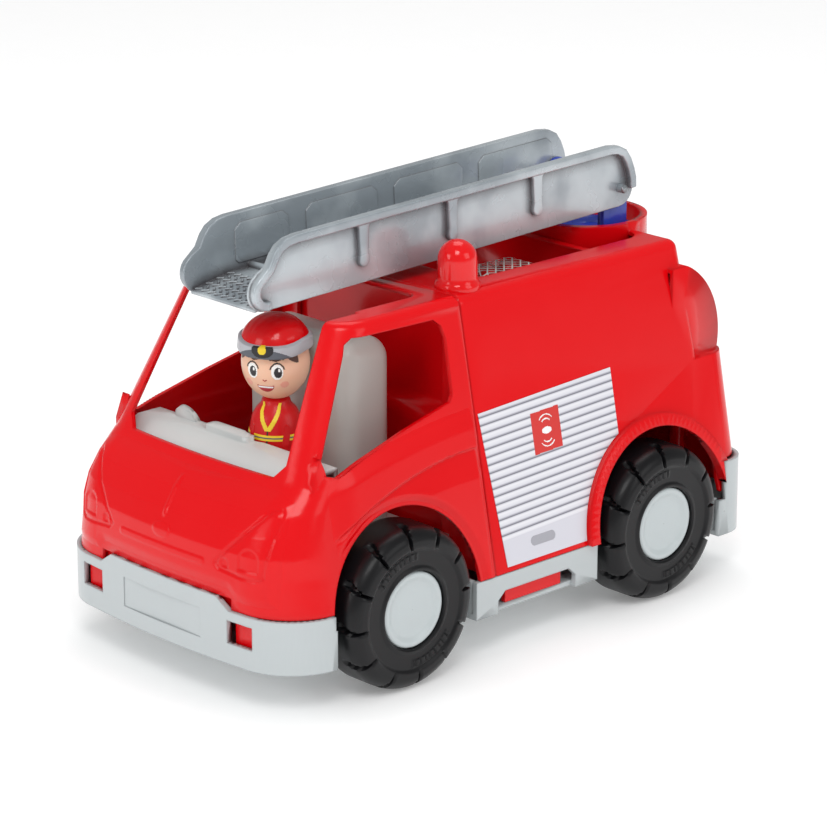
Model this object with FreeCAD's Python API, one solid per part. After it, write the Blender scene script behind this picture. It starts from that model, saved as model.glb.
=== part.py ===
import FreeCAD, Part
import math
import os

# Toy fire engine, in millimetres. +Z is up, the front faces -Y and the driver's left side faces +X.
# The origin is on the floor, under the middle of the overall box.

V = FreeCAD.Vector

# ---------------------------------------------------------------- driving dimensions
overall_length = 344.0
wheelbase = 185.4
front_overhang = 83.3          # front of the bumper to the front axle
sill_half_width = 93.0         # outside of the body at sill height
side_flare = 0.2               # sideways lean of the body walls per mm of height
box_roof_z = 186.0
cab_roof_z = 186.0
sill_top_z = 42.5
base_bottom_z = 22.0
wall = 2.4                     # shell wall
roof_edge_radius = 6.0
roof_rail_width = 16.0         # cab roof rails beside the open roof
crossbar_depth = 12.0          # cab roof bar in front of the seam
fit_gap = 0.3                  # between shells and what they stand on

tyre_radius = 42.5
tyre_width = 29.0
tyre_outer_x = 100.0
hub_cap_radius = 20.0
hub_cap_thickness = 4.0
axle_radius = 2.5
running_clearance = 0.08       # radial, for every pin or shaft that turns

front_arch_radius = 50.0
front_arch_shift = 2.0         # arch centre behind the axle
rear_arch_radius = 51.0
rear_arch_shift = 3.0
arch_lip_radius = 57.5
arch_lip_height = 3.5

seam_y = -25.5                 # joint line between cab and box
seam_gap = 1.2

hood_top_z = 112.0
hood_top_y = -147.0
windscreen_rake = 0.5          # rearward lean of the pillars per mm of height
bumper_corner_radius = 34.0
bumper_wall = 3.0
bumper_mid_top_z = 56.0
bumper_end_top_z = 50.0
rear_corner_radius = 18.0
bumper_reveal = 1.6            # how far the bumper stands out of the shells
rear_bumper_top_z = 64.0

ledge_z = 121.0                # shelf behind the upper body
upper_rear_lean = 0.07         # rearward lean of the upper rear edge per mm going down
upper_rear_y = 140.0           # rear edge of the roof
bulge_inset = 6.0
bulge_top_z = 172.0

deck_z = 58.0                  # floor of cab and box
deck_thickness = 2.5
well_inner_x = 64.0            # wheel wells start here
well_half_length = 47.0

turret_y = 134.0
turret_radius = 34.0
turret_wall = 4.0
turret_rim_z = 190.0
mirror_depth = 7.0              # mirror fin, from inside the cab wall to past its skin
turntable_rim_drop = 9.0        # turntable's rim below the turret's
turret_floor_z = 174.0
turntable_clearance = 0.5
stem_radius = 8.0
ear_thickness = 4.5
ear_outer_x = 22.5
ear_radius = 9.0
pivot_z = 208.0

ladder_half_width = 29.0
ladder_rail_thickness = 2.4
ladder_length = 256.0          # between the front and rear lobe centres
ladder_rail_top = 25.5         # above the lobe centres
ladder_lobe_radius = 10.5
ladder_tilt_deg = 1.9
ladder_rim = 5.0
ladder_floor_below = 4.0
ladder_bays = 4
pin_radius = 2.5

beacon_x = 50.0
beacon_y = -12.5
beacon_base_radius = 12.0
beacon_dome_radius = 10.5
beacon_height = 25.0
beacon_peg_radius = 4.0

roof_opening_half_width = 45.5
roof_opening_front_y = 2.0
roof_opening_rear_y = 132.0
tray_floor_z = 134.0
tray_half_width = 49.0
tray_rear_y = 94.0

figure_x = 6.0
figure_y = -98.0
figure_radius = 15.0
figure_head_radius = 17.5
figure_foot_z = 92.0
figure_neck_z = 136.0
figure_top_z = 180.0
socket_depth = 6.0

seat_half_width = 40.0
seat_front_y = -80.0
seat_rear_y = -47.0
seat_top_z = 165.0

brick_pitch = 16.0
brick_height = 19.2
stud_radius = 4.8
stud_height = 3.6

sticker_thickness = 0.4
screw_radius = 2.0
screw_head_radius = 3.6

front_y = -overall_length / 2
rear_y = overall_length / 2
front_axle_y = front_y + front_overhang
rear_axle_y = front_axle_y + wheelbase
axle_z = tyre_radius


# ---------------------------------------------------------------- small helpers
def block(x0, x1, y0, y1, z0, z1):
    return Part.makeBox(x1 - x0, y1 - y0, z1 - z0, V(x0, y0, z0))


def rod(start, direction, radius, length):
    return Part.makeCylinder(radius, length, V(*start), V(*direction))


def cross_rod(y, z, radius, x0, x1):
    return rod((x0, y, z), (1, 0, 0), radius, x1 - x0)


def prism(points, direction):
    wire = Part.makePolygon([V(*p) for p in points + points[:1]])
    return Part.Face(wire).extrude(V(*direction))


def side_prism(points, x0, x1):
    """Points are (y, z); the prism runs along X."""
    return prism([(x0, y, z) for y, z in points], (x1 - x0, 0, 0))


def rounded_block(x0, x1, y0, y1, z0, z1, radius):
    """A block with its four upright edges rounded."""
    body = block(x0, x1, y0, y1, z0, z1)
    upright = [e for e in body.Edges if abs(e.tangentAt(e.FirstParameter).z) > 0.9]
    return body.makeFillet(radius, upright)


def fuse(shapes):
    return shapes[0].multiFuse(shapes[1:]).removeSplitter()


def mirrored(shape):
    return shape.mirror(V(0, 0, 0), V(1, 0, 0))


def both_sides(shape):
    return [shape, mirrored(shape)]


def revolve_about_x(points, y, z):
    """Points are (x, radius); the solid turns about a line along X through (y, z)."""
    wire = Part.makePolygon([V(x, y, z + r) for x, r in points + points[:1]])
    return Part.Face(wire).revolve(V(0, y, z), V(1, 0, 0), 360)


def revolve_about_z(points, x, y):
    """Points are (radius, z); the solid turns about an upright line through (x, y)."""
    wire = Part.makePolygon([V(x + r, y, z) for r, z in points + points[:1]])
    return Part.Face(wire).revolve(V(x, y, 0), V(0, 0, 1), 360)


# ---------------------------------------------------------------- body outlines
def half_width(z):
    return sill_half_width - side_flare * (z - sill_top_z)


def cab_front_y(z):
    """Front of the cab on its centre line: an upright nose, a rounded hood, then raked pillars."""
    nose_y = front_y + bumper_reveal
    nose_z = 70.0
    if z <= nose_z:
        return nose_y
    if z <= hood_top_z:
        share = (z - nose_z) / (hood_top_z - nose_z)
        return nose_y + (hood_top_y - nose_y) * share ** 2.2
    return hood_top_y + windscreen_rake * (z - hood_top_z)


def plan_wire(z, half, y_end, y_straight, radius, bow):
    """Outline at one height: straight sides, rounded corners and a slightly bowed end."""
    sign = -1 if y_end < y_straight else 1
    corner_y = y_end - sign * (bow + radius)
    diagonal = radius * (1 - math.sqrt(0.5))
    start = V(half, y_straight, z)
    side_end = V(half, corner_y, z)
    corner_mid = V(half - diagonal, corner_y + sign * (radius - diagonal), z)
    end_start = V(half - radius, corner_y + sign * radius, z)
    middle = V(0, y_end, z)

    def other(p):
        return V(-p.x, p.y, p.z)

    end = Part.Arc(end_start, middle, other(end_start)) if bow else Part.LineSegment(end_start, other(end_start))
    edges = [
        Part.LineSegment(start, side_end),
        Part.Arc(side_end, corner_mid, end_start),
        end,
        Part.Arc(other(end_start), other(corner_mid), other(side_end)),
        Part.LineSegment(other(side_end), other(start)),
        Part.LineSegment(other(start), start),
    ]
    return Part.Wire([edge.toShape() for edge in edges])


def cab_solid(inset, z_bottom, z_top):
    """The cab's outer form, or the same form drawn in by the inset."""
    heights = [z_bottom, 70.0, 80.0, 90.0, 100.0, hood_top_z, z_top]
    y_back = seam_y - seam_gap / 2 - inset
    wires = []
    for z in heights:
        share = min(1.0, max(0.0, (z - 70.0) / (hood_top_z - 70.0)))
        radius = bumper_corner_radius - 14.0 * share - inset
        wires.append(plan_wire(z, half_width(z) - inset, cab_front_y(z) + inset, y_back, radius, 3.0))
    return Part.makeLoft(wires, True, True)


def box_lower_solid(inset, z0, z1):
    """The box below the ledge: it runs back to the rear bumper."""
    y0 = seam_y + seam_gap / 2 + inset
    y1 = rear_y - bumper_reveal - inset
    radius = rear_corner_radius - bumper_reveal - inset
    wires = [plan_wire(z, half_width(z) - inset, y1, y0, radius, 0) for z in (z0, z1)]
    return Part.makeLoft(wires, True, True)


def upper_rear(z):
    return upper_rear_y + upper_rear_lean * (box_roof_z - z)


def box_upper_solid(inset, z0, z1):
    y0 = seam_y + seam_gap / 2 + inset
    wires = [plan_wire(z, half_width(z) - inset, upper_rear(z) - inset, y0, 6.0 - inset, 0) for z in (z0, z1)]
    return Part.makeLoft(wires, True, True)


def bulge_solid(inset):
    """Quarter-round form behind the upper body, standing on the ledge."""
    reach = rear_y - bumper_reveal - 6.0 - upper_rear_y - inset
    rise = bulge_top_z - ledge_z - inset
    base = ledge_z - 6
    front = upper_rear_y - 12
    top_front = V(0, front, ledge_z + rise)
    top = V(0, upper_rear_y, ledge_z + rise)
    middle = V(0, upper_rear_y + reach * math.sqrt(0.5), ledge_z + rise * math.sqrt(0.5))
    low = V(0, upper_rear_y + reach, ledge_z)
    foot, foot_front = V(0, upper_rear_y + reach, base), V(0, front, base)
    edges = [Part.LineSegment(top_front, top), Part.Arc(top, middle, low), Part.LineSegment(low, foot),
             Part.LineSegment(foot, foot_front), Part.LineSegment(foot_front, top_front)]
    half = half_width(ledge_z) - bulge_inset - inset
    face = Part.Face(Part.Wire([edge.toShape() for edge in edges]))
    face.translate(V(-half, 0, 0))
    return face.extrude(V(2 * half, 0, 0))


def arch(y, radius, x0, x1):
    """Round wheel opening, straight below the axle."""
    opening = cross_rod(y, axle_z, radius, x0, x1)
    return opening.fuse(block(x0, x1, y - radius, y + radius, base_bottom_z - 5, axle_z))


front_arch_y = front_axle_y + front_arch_shift
rear_arch_y = rear_axle_y + rear_arch_shift


# ---------------------------------------------------------------- chassis
screw_places = [(44.0, -150.0), (78.0, 0.0), (78.0, 30.0), (50.0, 158.0)]


def fog_hole(side):
    """Opening in the bumper that shows a tongue of the cab shell."""
    x0, x1 = 49.0, 66.0
    hole = block(x0, x1, front_y - 5, front_y + 40, 33.0, 45.0)
    return hole if side > 0 else mirrored(hole)


def chassis_base():
    z0 = base_bottom_z
    outline = plan_wire(z0, sill_half_width, front_y, 0, bumper_corner_radius, 3.0)
    front = Part.Face(outline).extrude(V(0, 0, bumper_mid_top_z - z0))
    rear_outline = plan_wire(z0, sill_half_width, rear_y, 0, rear_corner_radius, 0)
    rear = Part.Face(rear_outline).extrude(V(0, 0, rear_bumper_top_z - z0))
    body = front.fuse(rear)

    # tops: bumper ends, bumper middle with sloping shoulders, sills, rear bumper
    front_wheel_front = front_arch_y - front_arch_radius
    rear_wheel_rear = rear_arch_y + rear_arch_radius
    wide = sill_half_width + 1
    shoulder = [
        (41.0, bumper_mid_top_z), (50.0, bumper_end_top_z), (wide, bumper_end_top_z), (wide, 90.0), (41.0, 90.0),
    ]
    shoulder_cut = prism([(x, front_y - 1, z) for x, z in shoulder], (0, 200, 0))
    body = body.cut(shoulder_cut).cut(mirrored(shoulder_cut))
    body = body.cut(block(-wide, wide, front_wheel_front, rear_wheel_rear, sill_top_z, 90))

    # hollow, leaving a floor and an outer wall
    t = bumper_wall
    inner = plan_wire(z0 + t, sill_half_width - t, front_y + t, 0.1, bumper_corner_radius - t, 3.0)
    hollow = Part.Face(inner).extrude(V(0, 0, 60))
    rear_inner = plan_wire(z0 + t, sill_half_width - t, rear_y - t, -0.1, rear_corner_radius - t, 0)
    rear_hollow = Part.Face(rear_inner).extrude(V(0, 0, 60))
    body = body.cut(hollow).cut(rear_hollow)

    # wheel wells with their own walls
    for y in (front_axle_y, rear_axle_y):
        well = block(well_inner_x, wide, y - well_half_length, y + well_half_length + 2, z0 - 1, 90)
        for piece in both_sides(well):
            body = body.cut(piece)
    additions = []
    for y in (front_axle_y, rear_axle_y):
        low, high = y - well_half_length, y + well_half_length + 2
        walls = [
            block(well_inner_x - t, well_inner_x, low - t, high + t, z0, deck_z - deck_thickness),
            block(well_inner_x - t, sill_half_width - 1.5 * t, low - t, low, z0, sill_top_z),
            block(well_inner_x - t, sill_half_width - 1.5 * t, high, high + t, z0, sill_top_z),
            cross_rod(y, axle_z, 8.0, well_inner_x - 8, well_inner_x + 4),
            block(well_inner_x - 8, well_inner_x - t, y - 1.5, y + 1.5, z0, axle_z),
        ]
        for piece in walls:
            additions += both_sides(piece)
    for x, y in screw_places:
        post = rod((x, y, z0), (0, 0, 1), 5.5, 10.0)
        additions += both_sides(post)
    for y in (-140.0, -40.0, 45.0, 150.0):
        additions.append(block(-well_inner_x, well_inner_x, y - 1.2, y + 1.2, z0, deck_z - deck_thickness))
    body = fuse([body] + additions)

    # bearings, screw holes, fog holes, sill notch, number-plate recess
    for y in (front_axle_y, rear_axle_y):
        body = body.cut(cross_rod(y, axle_z, axle_radius + running_clearance, -90, 90))
    for x, y in screw_places:
        for piece in both_sides(rod((x, y, z0 - 1), (0, 0, 1), screw_radius + 0.3, 20)):
            body = body.cut(piece)
        for piece in both_sides(rod((x, y, z0 - 1), (0, 0, 1), screw_head_radius + 0.4, 4.0)):
            body = body.cut(piece)
    body = body.cut(fog_hole(1)).cut(fog_hole(-1))
    notch = [(-24, z0 - 1), (-24, 29), (-19, 33.5), (28, 33.5), (33, 29), (33, z0 - 1)]
    notch_cut = side_prism(notch, sill_half_width - t - 0.5, wide)
    body = body.cut(notch_cut).cut(mirrored(notch_cut))
    plate = block(-30, 30, front_y - 1, front_y + 1.2, 31, 47)
    return body.cut(plate)


# ---------------------------------------------------------------- shells
def tongue(x0, x1, y0, y1, z0, z1):
    return rounded_block(x0, x1, y0, y1, z0, z1, min(x1 - x0, y1 - y0) * 0.24)


def side_window_points():
    return [
        (-99, 179), (-45, 178), (-40, 174), (-38, 167), (-38.5, 139), (-41, 135.5), (-75, 128),
        (-108, 119.5), (-122, 115), (-129, 117), (-130, 121), (-122, 137), (-105, 171), (-103, 176),
    ]


def drawn_in_skirt(form, low_z, step_z):
    """Skirt that stands behind a bumper, joined to the skin by a ring above the bumper's top."""
    back = bumper_wall + fit_gap
    skirt = form(back, low_z, step_z + 4.0).cut(form(back + wall, low_z - 1, step_z + 5.0))
    ring = form(wall / 2, step_z, step_z + 4.0).cut(form(back + wall, step_z - 1, step_z + 5.0))
    return skirt.fuse(ring)


def cab_nose(inset, z_bottom, z_top):
    """Upright lower front of the cab, drawn in by the inset."""
    wires = []
    for z in (z_bottom, z_top):
        wires.append(plan_wire(z, half_width(z) - inset, cab_front_y(z) + inset, seam_y - seam_gap / 2 - inset,
                               bumper_corner_radius - inset, 3.0))
    return Part.makeLoft(wires, True, True)


def cab_shell():
    skin_bottom = sill_top_z + fit_gap
    step_z = bumper_mid_top_z + fit_gap
    outer = cab_solid(0, skin_bottom, cab_roof_z)
    top_edges = [
        e for e in outer.Edges
        if abs(e.BoundBox.ZMin - cab_roof_z) < 0.01 and e.CenterOfMass.y < seam_y - seam_gap
    ]
    outer = outer.makeFillet(roof_edge_radius, top_edges)
    inner = cab_solid(wall, skin_bottom, cab_roof_z)
    inner = inner.cut(block(-120, 120, -200, 20, cab_roof_z - wall, cab_roof_z + 10))
    shell = outer.cut(inner)

    # the rear of the cab is open: the box's front wall closes it
    frame = 9.0
    doorway = half_width(cab_roof_z) - frame
    shell = shell.cut(block(-doorway, doorway, seam_y - 10, seam_y + 5, 0, cab_roof_z - wall - 2))

    # windscreen and open roof in one, leaving pillars and roof rails
    roof_half = half_width(cab_roof_z) - roof_rail_width
    glass_low = hood_top_z + 2
    screen = [
        (-54, glass_low), (-60, glass_low + 7), (-roof_half - 2, cab_roof_z + 5),
        (roof_half + 2, cab_roof_z + 5), (60, glass_low + 7), (54, glass_low),
    ]
    screen_cut = prism([(x, front_y, z) for x, z in screen], (0, 90, 0))
    rake_y = hood_top_y + windscreen_rake * (cab_roof_z - hood_top_z)
    screen_cut = screen_cut.cut(block(-100, 100, rake_y + 14, 0, 0, cab_roof_z - 15))
    shell = shell.cut(screen_cut)
    roof_cut = rounded_block(-roof_half, roof_half, rake_y - 30, seam_y - crossbar_depth, cab_roof_z - 15,
                             cab_roof_z + 5, 8.0)
    shell = shell.cut(roof_cut)

    window = side_prism(side_window_points(), 55, 110)
    shell = shell.cut(window).cut(mirrored(window))

    # the skin steps down behind the bumper
    shell = shell.cut(block(-120, 120, front_y - 5, front_arch_y, 0, bumper_end_top_z + fit_gap))
    shell = shell.cut(block(-50.5, 50.5, front_y - 5, front_y + 12, 0, step_z))
    skirt_rear_y = front_axle_y - well_half_length - bumper_wall - fit_gap
    skirt = drawn_in_skirt(cab_nose, skin_bottom, step_z).common(block(-120, 120, front_y, skirt_rear_y, 0, 90))
    additions = [skirt]
    tongue_y = front_y + bumper_reveal + bumper_wall + fit_gap + 1.5
    for piece in both_sides(tongue(50, 65, tongue_y, tongue_y + 5.0, 27.5, 50)):
        additions.append(piece)
    for x, y in screw_places[:1]:
        low = base_bottom_z + 10 + fit_gap
        post = rod((x, y, low), (0, 0, 1), 5.0, step_z + 3 - low)
        web = block(x - 1.5, x + 1.5, front_y + 8, y, 46, step_z + 3)
        additions += both_sides(post) + both_sides(web)
    # mirror fins at the foot of each pillar
    fin_x = half_width(118) - mirror_depth
    fin = side_prism([(-136.5, 114), (-131.5, 126.5), (-128.5, 120), (-125, 109), (-128, 101), (-133.5, 96),
                      (-136.5, 106)], fin_x, fin_x + mirror_depth - 1.5)
    additions += both_sides(fin)
    shell = fuse([shell] + additions)
    for piece in both_sides(arch(front_arch_y, front_arch_radius, 58, 110)):
        shell = shell.cut(piece)
    for x, y in screw_places[:1]:
        for piece in both_sides(rod((x, y, 0), (0, 0, 1), screw_radius - 0.2, base_bottom_z + 26)):
            shell = shell.cut(piece)
    return shell


def box_shell():
    z0 = sill_top_z + fit_gap
    lower = box_lower_solid(0, z0, ledge_z)
    upper = box_upper_solid(0, ledge_z - 1, box_roof_z)
    roof_edges = [
        e for e in upper.Edges
        if abs(e.BoundBox.ZMin - box_roof_z) < 0.01 and e.CenterOfMass.y > seam_y + seam_gap
    ]
    upper = upper.makeFillet(roof_edge_radius, roof_edges)
    turret = rod((0, turret_y, ledge_z - 6), (0, 0, 1), turret_radius, turret_rim_z - ledge_z + 6)
    proud = box_lower_solid(-arch_lip_height, z0, ledge_z)
    lip = cross_rod(rear_arch_y, axle_z, arch_lip_radius, 70, half_width(axle_z) + 10).common(proud)
    outer = fuse([lower] + both_sides(lip))
    outer = fuse([outer, upper, bulge_solid(0), turret])

    lower_in = box_lower_solid(wall, z0 - 1, ledge_z - wall)
    upper_in = box_upper_solid(wall, ledge_z - 4, box_roof_z - wall)
    bulge_in = bulge_solid(wall)
    turret_in = rod((0, turret_y, ledge_z - 8), (0, 0, 1), turret_radius - turret_wall,
                    turret_floor_z - 3 - ledge_z + 8)
    cup = rod((0, turret_y, turret_floor_z), (0, 0, 1), turret_radius - turret_wall, 30)
    hollow = fuse([lower_in, upper_in, bulge_in, turret_in])
    cup_floor_keep = rod((0, turret_y, turret_floor_z - 3), (0, 0, 1), turret_radius, 3.0)
    cup_wall_keep = rod((0, turret_y, turret_floor_z - 3), (0, 0, 1), turret_radius, 60).cut(
        rod((0, turret_y, turret_floor_z - 4), (0, 0, 1), turret_radius - turret_wall, 70))
    hollow = hollow.cut(cup_floor_keep).cut(cup_wall_keep)
    shell = outer.cut(hollow).cut(cup)

    # roof opening, kept clear of the turret
    opening = rounded_block(-roof_opening_half_width, roof_opening_half_width, roof_opening_front_y,
                            roof_opening_rear_y, box_roof_z - 8, box_roof_z + 8, 12.0)
    keep = rod((0, turret_y, 100), (0, 0, 1), turret_radius, 120)
    shell = shell.cut(opening.cut(keep))
    shell = shell.cut(rod((0, turret_y, turret_floor_z - 5), (0, 0, 1), stem_radius + running_clearance, 10))

    # beacon seat
    shell = shell.cut(rod((beacon_x, beacon_y, box_roof_z - 6), (0, 0, 1), beacon_peg_radius + fit_gap, 10))

    # rear skirt stands inside the rear bumper
    step_z = rear_bumper_top_z + fit_gap
    rear_zone_y = rear_arch_y + rear_arch_radius - 1
    shell = shell.cut(block(-120, 120, rear_zone_y, rear_y + 5, 0, step_z))
    skirt = drawn_in_skirt(box_lower_solid, 46.0, step_z).common(block(-120, 120, rear_zone_y, rear_y, 0, 90))

    # tongues over the sills, and screw posts held by webs
    additions = [skirt]
    t = bumper_wall
    tongue_x = sill_half_width - t - fit_gap
    drop = block(tongue_x - 3.0, tongue_x, -16, 25, base_bottom_z + t + fit_gap, z0 + 4)
    join = block(tongue_x - 3.0, sill_half_width - 1.2, -16, 25, z0 + 0.5, z0 + 4)
    additions += both_sides(drop) + both_sides(join)
    for x, y in screw_places[1:]:
        low = base_bottom_z + 10 + fit_gap
        if y < 100:
            post = rod((x, y, low), (0, 0, 1), 4.5, 74 - low)
            web = block(x, half_width(74) - 0.5, y - 1.5, y + 1.5, z0 + 2, 74)
        else:
            post = rod((x, y, low), (0, 0, 1), 4.5, 100 - low)
            web = block(x - 1.5, x + 1.5, y, rear_y - 6, rear_bumper_top_z + 2, 100)
        additions += both_sides(post) + both_sides(web)
    shell = fuse([shell] + additions)
    for piece in both_sides(arch(rear_arch_y, rear_arch_radius, 58, 110)):
        shell = shell.cut(piece)
    for x, y in screw_places[1:]:
        for piece in both_sides(rod((x, y, 0), (0, 0, 1), screw_radius - 0.2, base_bottom_z + 26)):
            shell = shell.cut(piece)
    return shell


# ---------------------------------------------------------------- inside
def cab_interior():
    """Light tray: cab floor, dashboard with the steering-wheel hump, and the figure's socket."""
    half = well_inner_x - 3
    z0 = deck_z - deck_thickness + fit_gap
    front = front_y + 30
    rear = seam_y - 3
    floor = block(-half, half, front, rear, z0, z0 + deck_thickness)
    dash_front_y = hood_top_y + 5
    dash_rear_y = -113.0
    dash_z = hood_top_z - 2
    wide = half_width(hood_top_z) - wall - 8
    dash = side_prism([(dash_front_y, dash_z - 6), (dash_front_y, dash_z - 1), (-128, dash_z + 6), (dash_rear_y, dash_z + 6),
                       (dash_rear_y, dash_z - 14), (dash_rear_y - 2.5, dash_z - 14),
                       (dash_rear_y - 2.5, dash_z + 3.5), (-129, dash_z + 3.5), (-138, dash_z - 6)], -wide, wide)
    dash = dash.common(cab_solid(wall + 2 * fit_gap, dash_z - 20, dash_z + 20))
    hump_wheel = rod((-44, dash_rear_y - 3, dash_z + 5), (0, 1, 0.4), 8.0, 3.0)
    hump_panel = rounded_block(-24, 8, dash_rear_y - 8, dash_rear_y, dash_z + 3, dash_z + 9, 2.5)
    legs = [block(x - 2, x + 2, dash_rear_y - 2.5, dash_rear_y, z0, dash_z - 12) for x in (-50, 50)]
    seat_pan = block(-seat_half_width, seat_half_width, -116, seat_front_y, figure_foot_z - socket_depth - 2.5,
                     figure_foot_z)
    pan_front = block(-seat_half_width, seat_half_width, -116, -113.5, z0, figure_foot_z)
    pan_sides = [block(s * seat_half_width - 1.25, s * seat_half_width + 1.25, -116, seat_front_y, z0,
                       figure_foot_z) for s in (-0.97, 0.97)]
    body = fuse([floor, dash, hump_wheel, hump_panel, seat_pan, pan_front] + legs + pan_sides)
    socket = rod((figure_x, figure_y, figure_foot_z - socket_depth), (0, 0, 1), figure_radius - 1 + fit_gap, 30)
    room = rod((figure_x, figure_y, figure_foot_z), (0, 0, 1), figure_radius + 1 + 2 * fit_gap, 50)
    return body.cut(socket).cut(room)


def seat_bench():
    z0 = deck_z + fit_gap
    outline = [(seat_front_y + fit_gap, z0 + fit_gap), (seat_front_y + fit_gap, seat_top_z - 8),
               (seat_front_y + 4, seat_top_z - 2), (seat_front_y + 10, seat_top_z),
               (seat_rear_y - 6, seat_top_z), (seat_rear_y, seat_top_z - 6), (seat_rear_y, z0 + fit_gap)]
    body = side_prism(outline, -seat_half_width, seat_half_width)
    low = [e for e in body.Edges if abs(abs(e.CenterOfMass.x) - seat_half_width) < 0.01
           and e.CenterOfMass.z > z0 + 5]
    body = body.makeFillet(3.0, low)
    hollow = block(-seat_half_width + 3, seat_half_width - 3, seat_front_y + 4, seat_rear_y - 3, 0, seat_top_z - 10)
    return body.cut(hollow)


def cargo_tray():
    """Red tray under the roof opening; it hangs by its flange."""
    top = box_roof_z - wall - fit_gap
    front = roof_opening_front_y - 6
    flange = block(-tray_half_width - 5, tray_half_width + 5, front - 4, tray_rear_y + 3, top - 2.2, top)
    tub = block(-tray_half_width, tray_half_width, front, tray_rear_y, tray_floor_z - 2.2, top)
    hollow = block(-tray_half_width + 2.2, tray_half_width - 2.2, front + 2.2, tray_rear_y - 2.2, tray_floor_z, 260)
    return fuse([flange, tub]).cut(hollow)


# ---------------------------------------------------------------- wheels
def tyre(y, side):
    outer_x = tyre_outer_x
    inner_x = tyre_outer_x - tyre_width
    seat_x = outer_x - 2.0 - hub_cap_thickness
    profile = [
        (inner_x, axle_radius), (inner_x, 9.0), (inner_x + 17, 10.0), (inner_x + 17, 33.0), (inner_x, 35.0),
        (inner_x, tyre_radius - 3), (inner_x + 3, tyre_radius), (outer_x - 9, tyre_radius),
        (outer_x - 4, tyre_radius - 1.5), (outer_x - 1, tyre_radius - 6), (outer_x, 33.0), (outer_x - 0.5, 26.0),
        (outer_x - 2.5, hub_cap_radius + 0.2), (seat_x, hub_cap_radius + 0.2), (seat_x, axle_radius),
    ]
    body = revolve_about_x(profile, y, axle_z)
    grooves = []
    count = 12
    for i in range(count):
        groove = block(outer_x - 14, outer_x + 1, y - 1.3, y + 1.3, axle_z + tyre_radius - 3.0, axle_z + tyre_radius + 1)
        groove.rotate(V(0, y, axle_z), V(1, 0, 0), 360.0 * (i + 0.5) / count)
        grooves.append(groove)
    body = body.cut(Part.makeCompound(grooves))
    return body if side > 0 else mirrored(body)


def hub_cap(y, side):
    seat_x = tyre_outer_x - 2.0 - hub_cap_thickness
    face_x = seat_x + hub_cap_thickness
    profile = [
        (seat_x, 0.0), (seat_x, hub_cap_radius - 1.0), (seat_x + 1, hub_cap_radius),
        (face_x - 1, hub_cap_radius), (face_x, hub_cap_radius - 1.2), (face_x, hub_cap_radius - 4.0),
        (face_x - 1.2, hub_cap_radius - 6.0), (face_x - 1.2, 0.0),
    ]
    body = revolve_about_x(profile, y, axle_z)
    return body if side > 0 else mirrored(body)


def axle(y):
    end_x = tyre_outer_x - 2.0 - hub_cap_thickness
    return cross_rod(y, axle_z, axle_radius, -end_x, end_x)


# ---------------------------------------------------------------- roof gear
def beacon():
    r = beacon_base_radius
    foot = rod((beacon_x, beacon_y, box_roof_z), (0, 0, 1), r, 3.0)
    shaft_height = beacon_height - beacon_dome_radius
    shaft = rod((beacon_x, beacon_y, box_roof_z), (0, 0, 1), beacon_dome_radius, shaft_height)
    top = Part.makeSphere(beacon_dome_radius, V(beacon_x, beacon_y, box_roof_z + shaft_height))
    peg = rod((beacon_x, beacon_y, box_roof_z - 6), (0, 0, 1), beacon_peg_radius, 7)
    return fuse([foot, shaft, top, peg])


def turntable():
    r = turret_radius - turret_wall - turntable_clearance
    top_z = turret_rim_z - turntable_rim_drop
    floor_z = turret_floor_z + fit_gap
    disc = rod((0, turret_y, floor_z), (0, 0, 1), r, top_z - floor_z)
    disc = disc.cut(rod((0, turret_y, floor_z + 3), (0, 0, 1), r - 3.0, 20))
    stem = rod((0, turret_y, turret_floor_z - 10), (0, 0, 1), stem_radius, 14)
    ear_plate = block(ear_outer_x - ear_thickness, ear_outer_x, turret_y - ear_radius, turret_y + ear_radius,
                      floor_z, pivot_z)
    ear_eye = cross_rod(turret_y, pivot_z, ear_radius, ear_outer_x - ear_thickness, ear_outer_x)
    body = fuse([disc, stem] + both_sides(ear_plate) + both_sides(ear_eye))
    groove = rod((0, turret_y, turret_floor_z - 8), (0, 0, 1), stem_radius + 2, 2.2).cut(
        rod((0, turret_y, turret_floor_z - 8), (0, 0, 1), stem_radius - 2, 2.2))
    body = body.cut(groove)
    return body.cut(cross_rod(turret_y, pivot_z, pin_radius + running_clearance, -40, 40))


def turntable_clip():
    """Spring clip in the stem's groove, under the turret floor."""
    z = turret_floor_z - 8 + 0.1
    ring = rod((0, turret_y, z), (0, 0, 1), stem_radius + 4, 2.0).cut(
        rod((0, turret_y, z - 1), (0, 0, 1), stem_radius - 1.7, 4.0))
    return ring.cut(block(-3, 3, turret_y - 20, turret_y, z - 1, z + 3))


def ladder_pin():
    return cross_rod(turret_y, pivot_z, pin_radius, -ladder_half_width, ladder_half_width)


def rail_outline():
    """Rail outline about the rear lobe's centre: (along, up), with -along towards the front."""
    r = ladder_lobe_radius
    far = ladder_length
    top = ladder_rail_top
    points = []
    for deg in (-90, -60, -30, 0, 25):
        points.append((r * math.cos(math.radians(deg)), r * math.sin(math.radians(deg))))
    points += [(6.5, 14.0), (3.0, 20.0), (-3.0, 24.0), (-10.0, top)]
    points += [(-far + 18.0, top), (-far + 11.0, 24.0), (-far + 5.0, 19.5), (-far + 0.5, 12.0), (-far - 6.0, 8.5)]
    for deg in (150, 180, 210, 240, 270):
        points.append((-far + r * math.cos(math.radians(deg)), r * math.sin(math.radians(deg))))
    return points


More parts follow.
